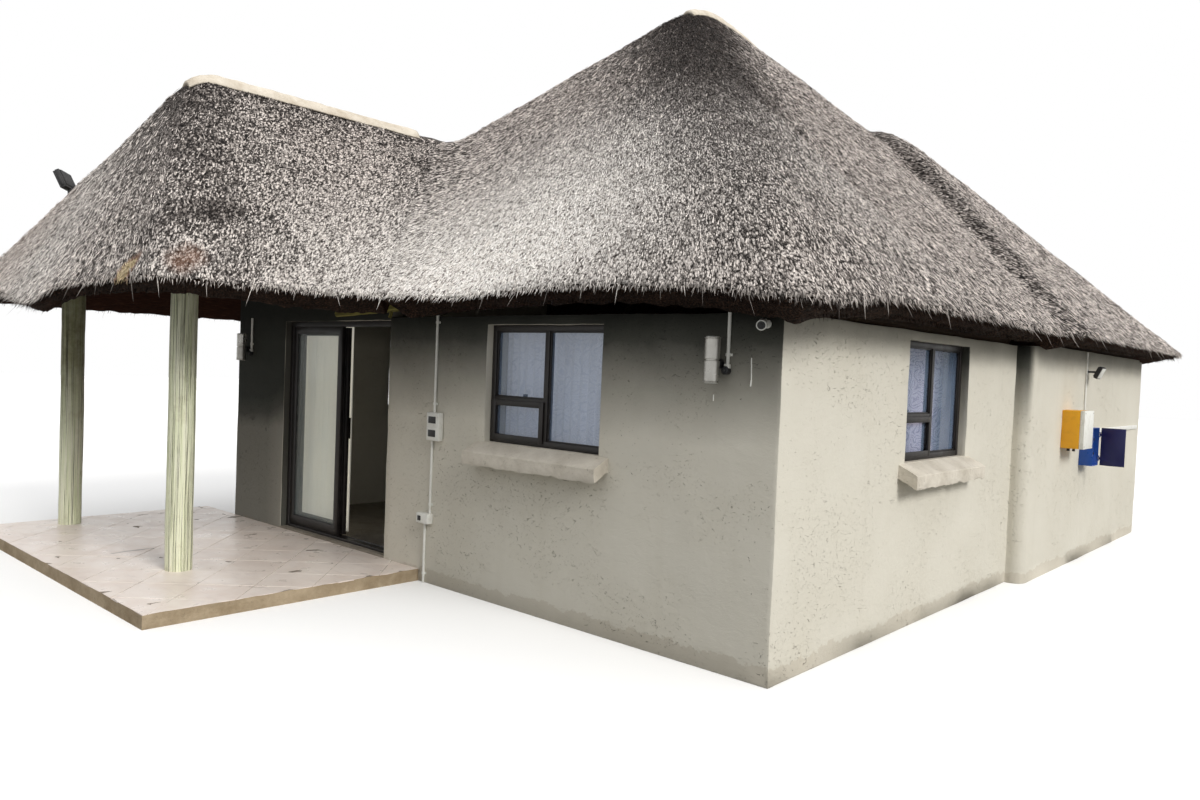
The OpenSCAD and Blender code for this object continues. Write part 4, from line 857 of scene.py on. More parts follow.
def fringe_tree():
    """Straws that stick out along an eave line, following its flow."""
    t = Tree("eave_fringe", Spacing=0.01, Length=0.09, Width=0.006, Spread=0.35, Droop=0.4, Seed=9,
             Finish=None)
    scatter = t.random_vector((-0.012, -0.012, -0.03), (0.012, 0.012, 0.012), 2)
    points = t.moved(t.points_along(), scatter)
    splay = t.longer(t.random_vector((-1, -1, -1), (1, 1, 0.6), 4), t.size("Spread"))
    way = t.vector("ADD", t.named("flow", "FLOAT_VECTOR"), splay)
    turn = t.turned(t.vector("ADD", way, t.longer((0, 0, -1), t.size("Droop"))), (0.0, 0.0, 1.0))
    points = t.store(points, "shade", t.random(0.0, 1.0, 5))
    # Each straw starts about a third of its length inside the thatch
    root = t.xyz(0.0, 0.0, t.maths("MULTIPLY", t.size("Length"), -0.35))
    straw = t.node("GeometryNodeTransform", 0, {"Geometry": t.straw(), "Translation": root})
    scale = t.xyz(0.6, 1.0, t.random(0.4, 1.3, 7))
    inputs = {"Points": points, "Instance": straw, "Rotation": turn, "Scale": scale}
    return t.end(t.node("GeometryNodeInstanceOnPoints", 0, inputs))


def eave_line(name, rays, share_in, drop):
    """The line of an eave as loose edges, with the way that its straws point."""
    verts, edges, flow = [], [], []
    inward, cut = eave_cut(np.array([r[0] for r in rays]), np.array([r[1] for r in rays]), 1.0)
    for i, (_, e, at_eave) in enumerate(rays):
        out = -inward[i]
        p = e - out * cut[i] * share_in
        verts.append((p[0], p[1], float(roof_z(e[0], e[1])) - drop))
        flow.append((out[0], out[1], -0.8))
        if i and at_eave == rays[i - 1][2] == 1:
            edges.append((i - 1, i))
    mesh = bpy.data.meshes.new(name)
    mesh.from_pydata(verts, edges, [])
    made = bpy.data.objects.new(name, mesh)
    put_attribute(made, "flow", flow, "FLOAT_VECTOR")
    put_weathering(made, np.array(verts)[:, 0], np.array(verts)[:, 1])
    return made


# Each fringe's name, place in the cut edge, drop, spacing, length, droop and finish
FRINGES = (("pale", 0.0, 0.006, 0.006, 0.06, 0.2, THATCH_STRAW),
           ("dark", 0.25, 0.03, 0.009, 0.07, 1.0, CUT_THATCH),
           ("rim", 0.75, 0.06, 0.012, 0.05, 1.4, CUT_THATCH),
           ("stray", 0.05, 0.02, 0.31, 0.2, 0.9, THATCH_STRAW))


def make_thatch():
    gap, far = 0.058, 9.0
    notch = eave_ends(SADDLE[None], np.array([[WING_RIGHT, FRONT_EAVE]]))[0]
    left_corner = eave_ends(SADDLE[None], np.array([[-LEFT_EAVE, SADDLE[1]]]))[0]
    main_rays, wing_rays = house_rays(gap, notch, left_corner), verandah_rays(gap)
    main = thatch_shell("thatch_main", main_rays, 54, True)
    wing = thatch_shell("thatch_verandah", wing_rays, 46, False)
    straws, fringe = straw_tree(), fringe_tree()
    finish_piece(main, "building", "thatch", "thatch_front", "thatch_right", "thatch_left", "thatch_back")
    finish_piece(wing, "building", "thatch", "thatch_verandah_front", "thatch_verandah_right",
                 "thatch_verandah_left")
    # The house's straws in four pieces, one behind the other, to stay within a piece's triangles
    for name, base, start, stop in (("straws_front", main, -far, -0.6), ("straws_middle", main, -0.6, 1.9),
                                    ("straws_rear", main, 1.9, 4.2), ("straws_back", main, 4.2, far),
                                    ("straws_verandah", wing, -far, far)):
        made = grown(name, base, straws, Density=1110.0, Length=0.075, Width=0.0070, Lift=0.14, From=start,
                     To=stop, Seed=3, Finish=THATCH_STRAW)
        finish_piece(made, "building", "thatch")
    for name, rays in (("eave_main", main_rays), ("eave_verandah", wing_rays)):
        for part, share_in, drop, spacing, length, droop, mat in FRINGES:
            line = eave_line(name + "_line", rays, share_in, drop)
            made = grown(name + "_" + part, line, fringe, Spacing=spacing, Length=length, Width=0.0045,
                         Spread=0.45, Droop=droop, Seed=9, Finish=mat)
            finish_piece(made, "building", "thatch")
            bpy.data.objects.remove(line)


# Ridge caps
def cap_point(x, y, across, on_top):
    """A point of the cap on the ridge at x, where across goes from -1 to 1."""
    wave = 0.16 * noise.noise(Vector((y * 3, 4.0 if across > 0 else 9.0, 0)))
    px = x + CAP_W / 2 * (1 + wave) * across
    z = float(roof_z(px, y)) + 0.004
    if on_top:
        z += 0.045 * (1 - 0.7 * across ** 4) + 0.012 * noise.noise(Vector((px * 9, y * 9, 2)))
    return px, y, z


def add_cap(verts, faces, x, y0, y1):
    ys, steps = stations(y0, y1, 0.06), 10
    base, row, layer = len(verts), steps + 1, len(ys) * (steps + 1)
    for on_top in (True, False):
        for y in ys:
            verts += [cap_point(x, y, i / steps * 2 - 1, on_top) for i in range(row)]
    for j in range(len(ys) - 1):
        for i in range(steps):
            k = base + j * row + i
            faces.append((k, k + 1, k + row + 1, k + row))
            faces.append((k + layer, k + layer + row, k + layer + row + 1, k + layer + 1))
        for i in (0, steps):
            k = base + j * row + i
            side = (k, k + row, k + layer + row, k + layer)
            faces.append(side if i == 0 else side[::-1])
    for j in (0, len(ys) - 1):
        for i in range(steps):
            k = base + j * row + i
            end = (k, k + layer, k + layer + 1, k + 1)
            faces.append(end if j == 0 else end[::-1])


def make_ridge_caps():
    """Trowelled cement over the ridges, with wavy edges."""
    verts, faces, share_covered = [], [], 0.86
    wing_end = WING_APEX[1] + (SADDLE[1] - WING_APEX[1]) * share_covered
    add_cap(verts, faces, WING_RIDGE_X, WING_APEX[1], wing_end)
    add_cap(verts, faces, RIDGE_X, APEX_FRONT[1], APEX_BACK[1])
    made = piece("cement_ridge_caps", verts, faces, CEMENT_CAP)
    tidy_mesh(made)
    finish_piece(made, "building", "ridge_cement", "ridge_caps")


# Plastered walls
WALLS = ("wall_front_right", "wall_front_left", "wall_over_doorway", "wall_right", "wall_left",
         "wall_rear_right", "wall_rear_left", "wall_rear_corners", "wall_back")


def merged_copy(name, node):
    """A copy of a node of the frame, with its doubled corners merged."""
    made = bpy.data.objects.new(name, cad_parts[node].data.copy())
    scene.collection.objects.link(made)
    tidy_mesh(made, False, 2e-5)
    return made


def cut_in_steps(made, gap):
    """Cuts long faces on a grid, so that they can be made uneven."""
    bm = bmesh.new()
    bm.from_mesh(made.data)
    for axis in range(3):
        low = min(v.co[axis] for v in bm.verts)
        high = max(v.co[axis] for v in bm.verts)
        normal = Vector((0, 0, 0))
        normal[axis] = 1
        for at in np.arange(low + gap, high - gap / 3, gap):
            everything = bm.verts[:] + bm.edges[:] + bm.faces[:]
            bmesh.ops.bisect_plane(bm, geom=everything, plane_co=normal * float(at), plane_no=normal,
                                   dist=1e-5)
    bm.to_mesh(made.data)
    bm.free()


def make_uneven(made, scale, size, seed=0.0):
    """Moves a piece's corners a little, except those on the ground."""
    mesh = made.data
    at = np.zeros(len(mesh.vertices) * 3, dtype=np.float32)
    mesh.vertices.foreach_get("co", at)
    at = at.reshape(-1, 3)
    shift = np.column_stack([lumps(at, scale, size, seed + k * 4.4) for k in range(3)])
    shift[at[:, 2] < 0.004] = 0
    mesh.vertices.foreach_set("co", (at + shift).astype(np.float32).ravel())
    mesh.update()


def make_walls():
    whole = merged_copy("plastered_walls", WALLS[0])
    others = [merged_copy(wall + "_part", wall) for wall in WALLS[1:]]
    group = bpy.data.collections.new("wall_parts")
    for other in others:
        group.objects.link(other)
    join = whole.modifiers.new("join", "BOOLEAN")
    join.operation, join.solver, join.operand_type, join.collection = "UNION", "EXACT", "COLLECTION", group
    apply_modifiers(whole)
    for other in others:
        bpy.data.objects.remove(other)
    bpy.data.collections.remove(group)
    bm = bmesh.new()
    bm.from_mesh(whole.data)
    bmesh.ops.remove_doubles(bm, verts=bm.verts, dist=1e-4)
    merge_flat_faces(bm)
    bm.to_mesh(whole.data)
    bm.free()
    soften(whole, 0.014, 40)
    cut_in_steps(whole, 0.15)
    make_uneven(whole, 1.6, 0.007)
    make_uneven(whole, 7.0, 0.004, 2.0)
    repaint(whole, PLASTER)
    shade_by_angle(whole, 60)
    finish_piece(whole, "building", "plaster", *WALLS)


# Poles
def axes_of(a, b):
    """The direction from a to b, and two directions square to it."""
    along = (b - a).normalized()
    side = along.orthogonal().normalized()
    return along, side, along.cross(side)


def add_tube_faces(faces, base, rings, around):
    """The faces of a tube whose corners come ring by ring, closed at both ends."""
    for j in range(rings):
        for i in range(around):
            k, m = base + j * around + i, base + j * around + (i + 1) % around
            faces.append((k, m, m + around, k + around))
    last = base + rings * around
    faces.append(tuple(base + i for i in reversed(range(around))))
    faces.append(tuple(last + i for i in range(around)))


def gum_pole(name, runs, mat, knots=0.5, around=28, gap=0.09):
    """Round poles, each from a to b with a diameter, a little crooked and tapered."""
    verts, faces, grain = [], [], []
    for n, (a, b, d) in enumerate(runs):
        a, b = Vector(a), Vector(b)
        _, side, other = axes_of(a, b)
        rings = max(6, int((b - a).length / gap))
        add_tube_faces(faces, len(verts), rings, around)
        for j in range(rings + 1):
            t = j / rings
            crooked = side * (0.012 * noise.noise(Vector((t * 2.2, n * 7.7, 1)))) * math.sin(math.pi * t)
            c, lengthwise = a.lerp(b, t) + crooked, t * (b - a).length * 1.6 + n * 5.3
            for i in range(around):
                turn = 2 * math.pi * i / around
                way = side * math.cos(turn) + other * math.sin(turn)
                p = c + way * d / 2
                swell = 1 + 0.035 * noise.noise(p * 3.1) + 0.018 * noise.noise(Vector((turn * 3, t * 4, n)))
                swell += 0.02 * knots * noise.noise(p * 11)
                verts.append(c + way * (d / 2 * swell * (0.985 + 0.01 * (1 - t))))
                grain.append((math.cos(turn) * d * 22, math.sin(turn) * d * 22, lengthwise))
    made = piece(name, verts, faces, mat)
    put_attribute(made, "grain", grain, "FLOAT_VECTOR")
    # Poles at the far left are darkened from 0.9 m upwards, by weathering and painted shade; the others are a
    # little weathered
    age = [min(1.0, max(0.0, (v.z - 0.9) / 0.9)) if v.x < -3.4 else 0.12 for v in verts]
    put_attribute(made, "age", age)
    tidy_mesh(made)
    shade_by_angle(made, 50)
    return made


def pole_runs(node):
    """Both ends and the diameter of each straight pole of a node, found by its flat round ends."""
    made = merged_copy("poles", node)
    bm = bmesh.new()
    bm.from_mesh(made.data)
    merge_flat_faces(bm)
    ends = []
    for face in bm.faces:
        middle = face.calc_center_median()
        reach = [(v.co - middle).length for v in face.verts]
        if len(reach) >= 10 and max(reach) - min(reach) < 0.01 * max(reach):
            ends.append((middle, face.normal.copy(), 2 * max(reach)))
    bm.free()
    bpy.data.objects.remove(made)
    runs = []
    for i, (a, out, d) in enumerate(ends):
        for b, far_out, _ in ends[i + 1:]:
            way = (b - a).normalized()
            if way.dot(out) < -0.9999 and way.dot(far_out) > 0.9999:
                runs.append((a, b, d))
    return runs


def make_poles():
    posts = [(a, b, d * 1.02) if a.z < b.z else (b, a, d * 1.02) for a, b, d in pole_runs("posts")]
    finish_piece(gum_pole("verandah_posts", posts, POLE_GREEN, 1.0), "building", "gum_pole", "posts")
    for name, node, around, gap in (("verandah_frame_poles", "verandah_frame", 20, 0.15),
                                    ("right_roof_poles", "rafters_right", 14, 0.3),
                                    ("left_roof_poles", "rafters_left", 14, 0.3)):
        made = gum_pole(name, pole_runs(node), POLE_DARK, 0.5, around, gap)
        finish_piece(made, "building", "gum_pole", node)
    branch = [(a, b, 0.058) for a, b, _ in pole_runs("doorway_pole")]
    forks = [((-0.47, -3.535, 2.3), (-0.52, -3.535, 2.2), 0.03),
             ((-0.5, -3.535, 2.29), (-0.38, -3.54, 2.33), 0.05)]
    made = gum_pole("doorway_branch", branch + forks, POLE_YELLOW, 2.0)
    finish_piece(made, "building", "gum_pole", "doorway_pole")


# Windows and the sliding door
def boxes(name, corners, mat, bevel=0.002, segments=2):
    """Square members with softened edges, each from a lowest to a highest corner."""
    verts, faces = [], []
    for low, high in corners:
        add_block(verts, faces, box_corners(low, high))
    made = piece(name, verts, faces, mat, False)
    if bevel:
        soften(made, bevel, segments=segments)
        shade_by_angle(made, 40)
    return made


def bars(name, runs, mat, around=20):
    """Round bars with softened rims, each from a to b with a radius and the rim's width."""
    verts, faces = [], []
    turns = [2 * math.pi * i / around for i in range(around)]
    for a, b, radius, rim in runs:
        a, b = Vector(a), Vector(b)
        along, side, other = axes_of(a, b)
        rings = ((a, radius - rim), (a + along * rim, radius), (b - along * rim, radius), (b, radius - rim))
        add_tube_faces(faces, len(verts), len(rings) - 1, around)
        for c, reach in rings:
            verts += [c + (side * math.cos(turn) + other * math.sin(turn)) * reach for turn in turns]
    made = piece(name, verts, faces, mat)
    shade_by_angle(made, 40)
    return made


def placed(points, corner, turn):
    """Points of a window's own frame, whose outside faces -Y, put in their wall."""
    place = Matrix.Translation(corner) @ Matrix.Rotation(math.radians(turn), 4, "Z")
    return [place @ Vector(p) for p in points]


# Each window's lower corner, its turn in degrees and its width
WINDOW_SPOTS = {"front": ((WINDOW_X - WINDOW_W / 2, -FRONT_Y + REVEAL, WINDOW_Z), 0, WINDOW_W),
                "right": ((HALF_W - REVEAL, SIDE_WINDOW_Y - WINDOW_W / 2, WINDOW_Z), 90, WINDOW_W),
                "left": ((-HALF_W + REVEAL, SIDE_WINDOW_Y + WINDOW_W / 2, WINDOW_Z), -90, WINDOW_W),
                "back": ((BACK_WINDOW_W / 2, BACK_Y - REVEAL, WINDOW_Z), 180, BACK_WINDOW_W)}


def square_ring(x0, x1, z0, z1, wide, y0, y1, past=0.0):
    """Four members round a pane: two uprights, and two rails let into them."""
    tuck = 0.001
    return [((x0 - past, y0, z0 - past), (x0 + wide, y1, z1 + past)),
            ((x1 - wide, y0, z0 - past), (x1 + past, y1, z1 + past)),
            ((x0 + wide - tuck, y0, z0 - past), (x1 - wide + tuck, y1, z0 + wide)),
            ((x0 + wide - tuck, y0, z1 - wide), (x1 - wide + tuck, y1, z1 + past))]


def window_members(w):
    """The square members of a window with the width w, in its own frame."""
    mid, f, h, c, tuck = w / 2, FRAME_W, WINDOW_H, CASEMENT_H, 0.002
    members = [((0, 0, 0), (f, FRAME_D, h)), ((w - f, 0, 0), (w, FRAME_D, h)),
               ((f - tuck, 0, 0), (w - f + tuck, FRAME_D, f)),
               ((f - tuck, 0, h - f), (w - f + tuck, FRAME_D, h)),
               ((mid - f / 2, 0.001, f - tuck), (mid + f / 2, FRAME_D - 0.001, h - f + tuck)),
               ((f - tuck, 0.002, c - f / 2), (mid - f / 2 + tuck, FRAME_D - 0.002, c + f / 2))]
    # Glazing beads round each pane
    for pane in ((f, mid - f / 2, c + f / 2, h - f), (mid + f / 2, w - f, f, h - f),
                 (f, mid - f / 2, f, c - f / 2)):
        members += square_ring(*pane, 0.011, 0.012, 0.026, 0.001)
    # The opening pane's sash, standing a little proud
    members += square_ring(f / 2, mid - 0.008, f / 2, c, f / 2 + 0.022, -0.012, 0.001)
    # Stay arm and catch inside
    members += [((mid * 0.35, FRAME_D - 0.002, f * 0.5), (mid * 0.75, FRAME_D + 0.01, f * 0.5 + 0.012)),
                ((mid * 0.5, FRAME_D - 0.002, c - 0.02), (mid * 0.5 + 0.018, FRAME_D + 0.03, c + 0.05))]
    return members


def window_frame_piece(name, spots, *replaced):
    verts, faces = [], []
    for key in spots:
        corner, turn, w = WINDOW_SPOTS[key]
        for low, high in window_members(w):
            add_block(verts, faces, placed(box_corners(low, high), corner, turn))
    made = piece(name, verts, faces, FRAME_BRONZE, False)
    soften(made, 0.0022)
    shade_by_angle(made, 40)
    finish_piece(made, "building", "window_frame", *replaced)


SILL_FRONT, SILL_BACK = -SILL_OUT - REVEAL, -REVEAL + 0.012


def sill_top(t):
    """The height of a sill's sloped top, from its front (0) to its back (1)."""
    return -SILL_FALL * (1 - t)


def sill_outline():
    """A sill seen from its end, from below the front edge over the top and back underneath."""
    deep = SILL_BACK - SILL_FRONT
    nose = ((0.004, -SILL_T), (0.0, -SILL_T + 0.014), (0.0, -SILL_T / 2), (0.001, -0.005), (0.006, 0.002))
    outline = [(SILL_FRONT + dy, dz - SILL_FALL) for dy, dz in nose]
    outline += [(SILL_FRONT + deep * t, sill_top(t)) for t in (0.25, 0.5, 0.75)]
    outline += [(SILL_BACK, 0.0), (SILL_BACK, -SILL_T)]
    return outline + [(SILL_FRONT + deep * t, sill_top(t) - SILL_T) for t in (0.75, 0.5, 0.25)]


def make_sills():
    """Rough cast sills, with uneven edges and a broken underside."""
    outline, gap = sill_outline(), 0.04
    verts, faces, count = [], [], len(outline)
    for corner, turn, w in WINDOW_SPOTS.values():
        base, steps = len(verts), int((w + 2 * SILL_HORN) / gap)
        for i in range(steps + 1):
            x = -SILL_HORN + (w + 2 * SILL_HORN) * i / steps
            ring = placed([(x, y, z) for y, z in outline], corner, turn)
            for p, (y, z) in zip(ring, outline):
                below = z < sill_top((y - SILL_FRONT) / (SILL_BACK - SILL_FRONT)) - SILL_T * 0.7
                rough = 0.012 if below else 0.0025
                coarse = Vector([noise.noise(p * 11 + Vector((k * 3.3, 0, 0))) for k in range(3)])
                fine = Vector((0, 0, noise.noise(p * 29)))
                verts.append(p + coarse * rough + fine * rough * 0.8)
        for i in range(steps):
            for j in range(count):
                k, m = base + i * count + j, base + i * count + (j + 1) % count
                faces.append((k, m, m + count, k + count))
        last = base + steps * count
        faces += [tuple(base + j for j in range(count)), tuple(last + j for j in reversed(range(count)))]
        # The part that lies in the wall, below the frame
        low, high = (0.001, -REVEAL + 0.005, -SILL_T), (w - 0.001, WALL_T - REVEAL, -0.0015)
        add_block(verts, faces, placed(box_corners(low, high), corner, turn))
    made = piece("cast_sills", verts, faces, SILL_CONCRETE)
    tidy_mesh(made)
    shade_by_angle(made, 22)
    finish_piece(made, "building", "sill_concrete", "window_sills")


def dress(node, mat, bevel=0.002):
    """A node whose shape is right, with softened edges and its own finish."""
    made = merged_copy(node + "_dressed", node)
    bm = bmesh.new()
    bm.from_mesh(made.data)
    merge_flat_faces(bm)
    bm.to_mesh(made.data)
    bm.free()
    soften(made, bevel, 40)
    repaint(made, mat)
    shade_by_angle(made, 40)
    return made


def make_openings():
    window_frame_piece("front_window_frame", ["front"], "window_frame_front")
    window_frame_piece("right_window_frame", ["right"], "window_frame_right")
    window_frame_piece("far_window_frames", ["left", "back"], "window_frames_far")
    make_sills()
    for node, body in (("door_frame", "building"), ("door_fixed_panel", "building"), ("door_leaf", "leaf")):
        finish_piece(dress(node, FRAME_BRONZE), body, "window_frame", node)
    for node, mat in (("window_glass", GLASS), ("door_fixed_glass", DOOR_GLASS),
                      ("door_leaf_glass", DOOR_GLASS)):
        repaint(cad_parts[node], mat)
    # Rubber seals round both faces of the door glass
    wide, thick = 0.008, 0.003
    for node, body in (("door_fixed_glass", "building"), ("door_leaf_glass", "leaf")):
        (x0, y0, z0), (x1, y1, z1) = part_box(node)
        seal = []
        for y in (y0 - 0.0035, y1 + 0.0005):
            seal += [((x0, y, z0), (x0 + wide, y + thick, z1)), ((x1 - wide, y, z0), (x1, y + thick, z1)),
                     ((x0, y, z0), (x1, y + thick, z0 + wide)), ((x0, y, z1 - wide), (x1, y + thick, z1))]
        finish_piece(boxes(node + "_seal", seal, DARK_PLASTIC, 0), body, "window_frame")


# Curtains
def gathered_curtain(name, x_range, y_line, z_range, fullness, mat, seed, slot, replaced, turn=None):
    """Cloth gathered along its top, with folds that open towards the hem."""
    (x0, x1), (z0, z1) = x_range, z_range
    width, height = x1 - x0, z1 - z0
    cols, rows, folds = int(width / 0.008), 26, width / 0.085
    grid = np.zeros((rows + 1, cols + 1, 3))
    for j in range(rows + 1):
        v = j / rows
        for i in range(cols + 1):
            u = i / cols
            phase = 2 * math.pi * (folds * u + 0.35 * noise.noise(Vector((u * 6, v * 0.6, seed))))
            deep = (0.011 + 0.010 * v) * fullness * (0.75 + 0.5 * noise.noise(Vector((u * 9, seed, v))))
            x = x0 + width * u + 0.004 * math.sin(phase * 2) * v
            grid[j, i] = (x, y_line + deep * math.sin(phase), z1 - height * v)
    steps_across = np.linalg.norm(np.diff(grid, axis=1), axis=2)
    across = np.concatenate([np.zeros((rows + 1, 1)), np.cumsum(steps_across, axis=1)], axis=1)
    verts, faces = grid.reshape(-1, 3), []
    if turn:
        verts = [turn @ Vector(p) for p in verts]
    for j in range(rows):
        for i in range(cols):
            k = j * (cols + 1) + i
            faces.append((k, k + cols + 1, k + cols + 2, k + 1))
    made = piece(name, verts, faces, mat)
    cloth = made.data.uv_layers.new(name="cloth")
    down = np.broadcast_to(np.linspace(0, height, rows + 1)[:, None], across.shape)
    flat = np.stack([across, down], axis=2).reshape(-1, 2)
    corners = np.zeros(len(made.data.loops), dtype=np.int32)
    made.data.loops.foreach_get("vertex_index", corners)
    cloth.data.foreach_set("uv", flat[corners].ravel())
    thick = made.modifiers.new("thick", "SOLIDIFY")
    thick.thickness, thick.offset = 0.0012, 0
    apply_modifiers(made)
    finish_piece(made, "building", slot, *replaced)


def make_curtains():
    front_line, side_line = -FRONT_Y + WALL_T + CURTAIN_IN, HALF_W - WALL_T - CURTAIN_IN
    rod_z, door_rod_z, sides = WINDOW_Z + WINDOW_H + 0.02, DOOR_TOP - 0.005, 12
    front_rod = [(x, front_line, rod_z) for x in (WINDOW_X - 0.66, WINDOW_X + 0.66)]
    side_rod = [(side_line, y, rod_z) for y in (SIDE_WINDOW_Y - 0.66, SIDE_WINDOW_Y + 0.76)]
    rods = bars("curtain_rods", [(*front_rod, 0.008, 0.002), (*side_rod, 0.008, 0.002)], WHITE_PVC, sides)
    finish_piece(rods, "building", "white_plastic")
    heights, whole = (WINDOW_Z - 0.11, rod_z), ("window_curtains",)
    gathered_curtain("front_curtain", (WINDOW_X - 0.65, WINDOW_X + 0.65), front_line, heights, 1.0, LACE_BLUE,
                     1.0, "curtain_blue", whole)
    quarter_turn = Matrix.Rotation(math.radians(90), 4, "Z")
    gathered_curtain("right_curtain", (SIDE_WINDOW_Y - 0.65, SIDE_WINDOW_Y + 0.74), -side_line, heights, 1.1,
                     LACE_LILAC, 4.0, "curtain_blue", whole, quarter_turn)
    start, end = ((x, front_line, door_rod_z) for x in (DOOR_X - 0.1, DOOR_X + DOOR_W + 0.02))
    rod = bars("door_curtain_rod", [(start, end, 0.009, 0.002)], WHITE_PVC, sides)
    finish_piece(rod, "building", "white_plastic")
    gathered_curtain("door_curtain", (DOOR_X - 0.08, DOOR_X + DOOR_W / 2 - 0.08), front_line,
                     (FLOOR_H + 0.03, door_rod_z), 1.1, CREAM_CLOTH, 7.0, "curtain_cream",
                     ("curtain_door",))


# Verandah floor
def clip(points, axis, limit, keep_above):
    """The part of a flat outline on one side of a limit."""
    out = []
    for i, p in enumerate(points):
        q = points[(i + 1) % len(points)]
        inside, next_in = (p[axis] >= limit) == keep_above, (q[axis] >= limit) == keep_above
        if inside:
            out.append(p)
        if inside != next_in:
            t = (limit - p[axis]) / (q[axis] - p[axis])
            out.append([p[k] + (q[k] - p[k]) * t for k in (0, 1)])
    return out


def make_verandah_floor():
    """Square floor tiles laid diagonally and cut at the edges, on a concrete slab with a rough rim."""
    side, joint, thick, rim = 0.42, 0.004, 0.009, 0.0018
    edges = ((0, STOEP_X0 + 0.003, True), (0, STOEP_X1 - 0.003, False), (1, STOEP_Y0 + 0.003, True),
             (1, -FRONT_Y, False))
    layers = ((STOEP_H - thick, 0, 0), (STOEP_H - rim, 0, 1), (STOEP_H, rim, 1))
    verts, faces, shade, rng = [], [], [], np.random.default_rng(12)
    slant = math.cos(math.radians(45))
    half = (side - joint) / 2 / slant
    for i in range(-12, 13):
        for j in range(-12, 13):
            cx, cy = (i - j) * side * slant - 2.1, (i + j) * side * slant - 4.5
            tile = [[cx + half, cy], [cx, cy + half], [cx - half, cy], [cx, cy - half]]
            for edge in edges:
                tile = clip(tile, *edge)
            if len(tile) < 3:
                continue
            k, n, tone, lift = len(verts), len(tile), rng.random(), rng.normal(0, 0.0006)
            mx, my = np.mean([p[0] for p in tile]), np.mean([p[1] for p in tile])
            for z, shrink, lifted in layers:
                for px, py in tile:
                    d = max(math.hypot(px - mx, py - my), 0.01)
                    x, y = px - (px - mx) / d * shrink, py - (py - my) / d * shrink
                    verts.append((x, y, z + lift * lifted))
            for low in (k, k + n):
                pairs = [(low + a, low + (a + 1) % n) for a in range(n)]
                faces += [(a, b, b + n, a + n) for a, b in pairs]
            faces += [tuple(k + 2 * n + a for a in range(n)), tuple(k + a for a in reversed(range(n)))]
            shade += [tone] * (3 * n)
    tiles = piece("verandah_tiles", verts, faces, TILE, False)
    put_attribute(tiles, "shade", shade)
    finish_piece(tiles, "building", "stoep_tile", "stoep_slab")
    block = ((STOEP_X0, STOEP_Y0, 0), (STOEP_X1, -FRONT_Y, STOEP_H - 0.003))
    slab = boxes("verandah_slab", [block], SLAB_EDGE, 0)
    cut_in_steps(slab, 0.07)
    make_uneven(slab, 8, 0.006)
    slab.data.materials.append(GROUT)
    for face in slab.data.polygons:
        face.material_index = 1 if face.normal.z > 0.9 else 0
    finish_piece(slab, "building", "stoep_tile", "stoep_slab")
    repaint(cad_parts["floor_slab"], SCREED)


# Fittings
def up(z):
    return Vector((0, 0, z))


# The tubes of a wall light about its middle: lowest and highest z, radius and rim
LIGHT_TUBES = ((-0.13, -0.004, 0.0475, 0.003), (0.004, 0.13, 0.0475, 0.003), (-0.006, 0.006, 0.041, 0.001),
               (0.129, 0.136, 0.050, 0.002), (-0.136, -0.129, 0.050, 0.002))
# Its mounts on the wall: x and z from its place, how far out they start and end, radius and rim
LIGHT_MOUNTS = ((0.01, -0.02, 0.05, 0, 0.03, 0.003), (0.066, -0.06, 0.045, 0, 0.026, 0.005),
                (0.066, -0.06, 0.055, 0.04, 0.016, 0.004))


def make_wall_lights():
    metal, dark, lenses = [], [], []
    for x in LIGHT_XS:
        c = Vector((x + 0.01, -FRONT_Y - 0.0925, LIGHT_Z))
        metal += [(c + up(z0), c + up(z1), radius, rim) for z0, z1, radius, rim in LIGHT_TUBES]
        for dx, dz, out, end, radius, rim in LIGHT_MOUNTS:
            at_x, at_z = x + dx, LIGHT_Z + dz
            dark.append(((at_x, -FRONT_Y - out, at_z), (at_x, -FRONT_Y - end, at_z), radius, rim))
        for z in (LIGHT_Z + 0.137, LIGHT_Z - 0.141):
            start, end = ((x + 0.01, -FRONT_Y - 0.0925, z + dz) for dz in (0, 0.004))
            lenses.append((start, end, 0.04, 0.001))
    for name, runs, mat, around in (("wall_light_bodies", metal, SATIN_METAL, 36),
                                    ("wall_light_mounts", dark, DARK_PLASTIC, 20),
                                    ("wall_light_lenses", lenses, WHITE_PVC, 28)):
        finish_piece(bars(name, runs, mat, around), "building", "lamp_metal", "wall_lights")


def clip_tree():
    """Saddle clips that repeat along a pipe's line."""
    t = Tree("pipe_clips", Spacing=0.45, Width=0.022, Height=0.0145, Finish=None)
    points = t.points_along()
    inputs = {"Vertices": 16, "Side Segments": 1, "Radius": t.size("Height"), "Depth": t.size("Width")}
    band = t.node("GeometryNodeMeshCylinder", 0, inputs)
    feet = t.node("GeometryNodeMeshCube", 0, {"Size": (0.052, 0.004, 0.016)})
    feet = t.node("GeometryNodeTransform", 0, {"Geometry": feet, "Translation": (0, 0.009, 0)})
    both = t.group.nodes.new("GeometryNodeJoinGeometry")
    t.group.links.new(band, both.inputs[0])
    t.group.links.new(feet, both.inputs[0])
    return t.end(t.node("GeometryNodeInstanceOnPoints", 0, {"Points": points, "Instance": both.outputs[0]}))


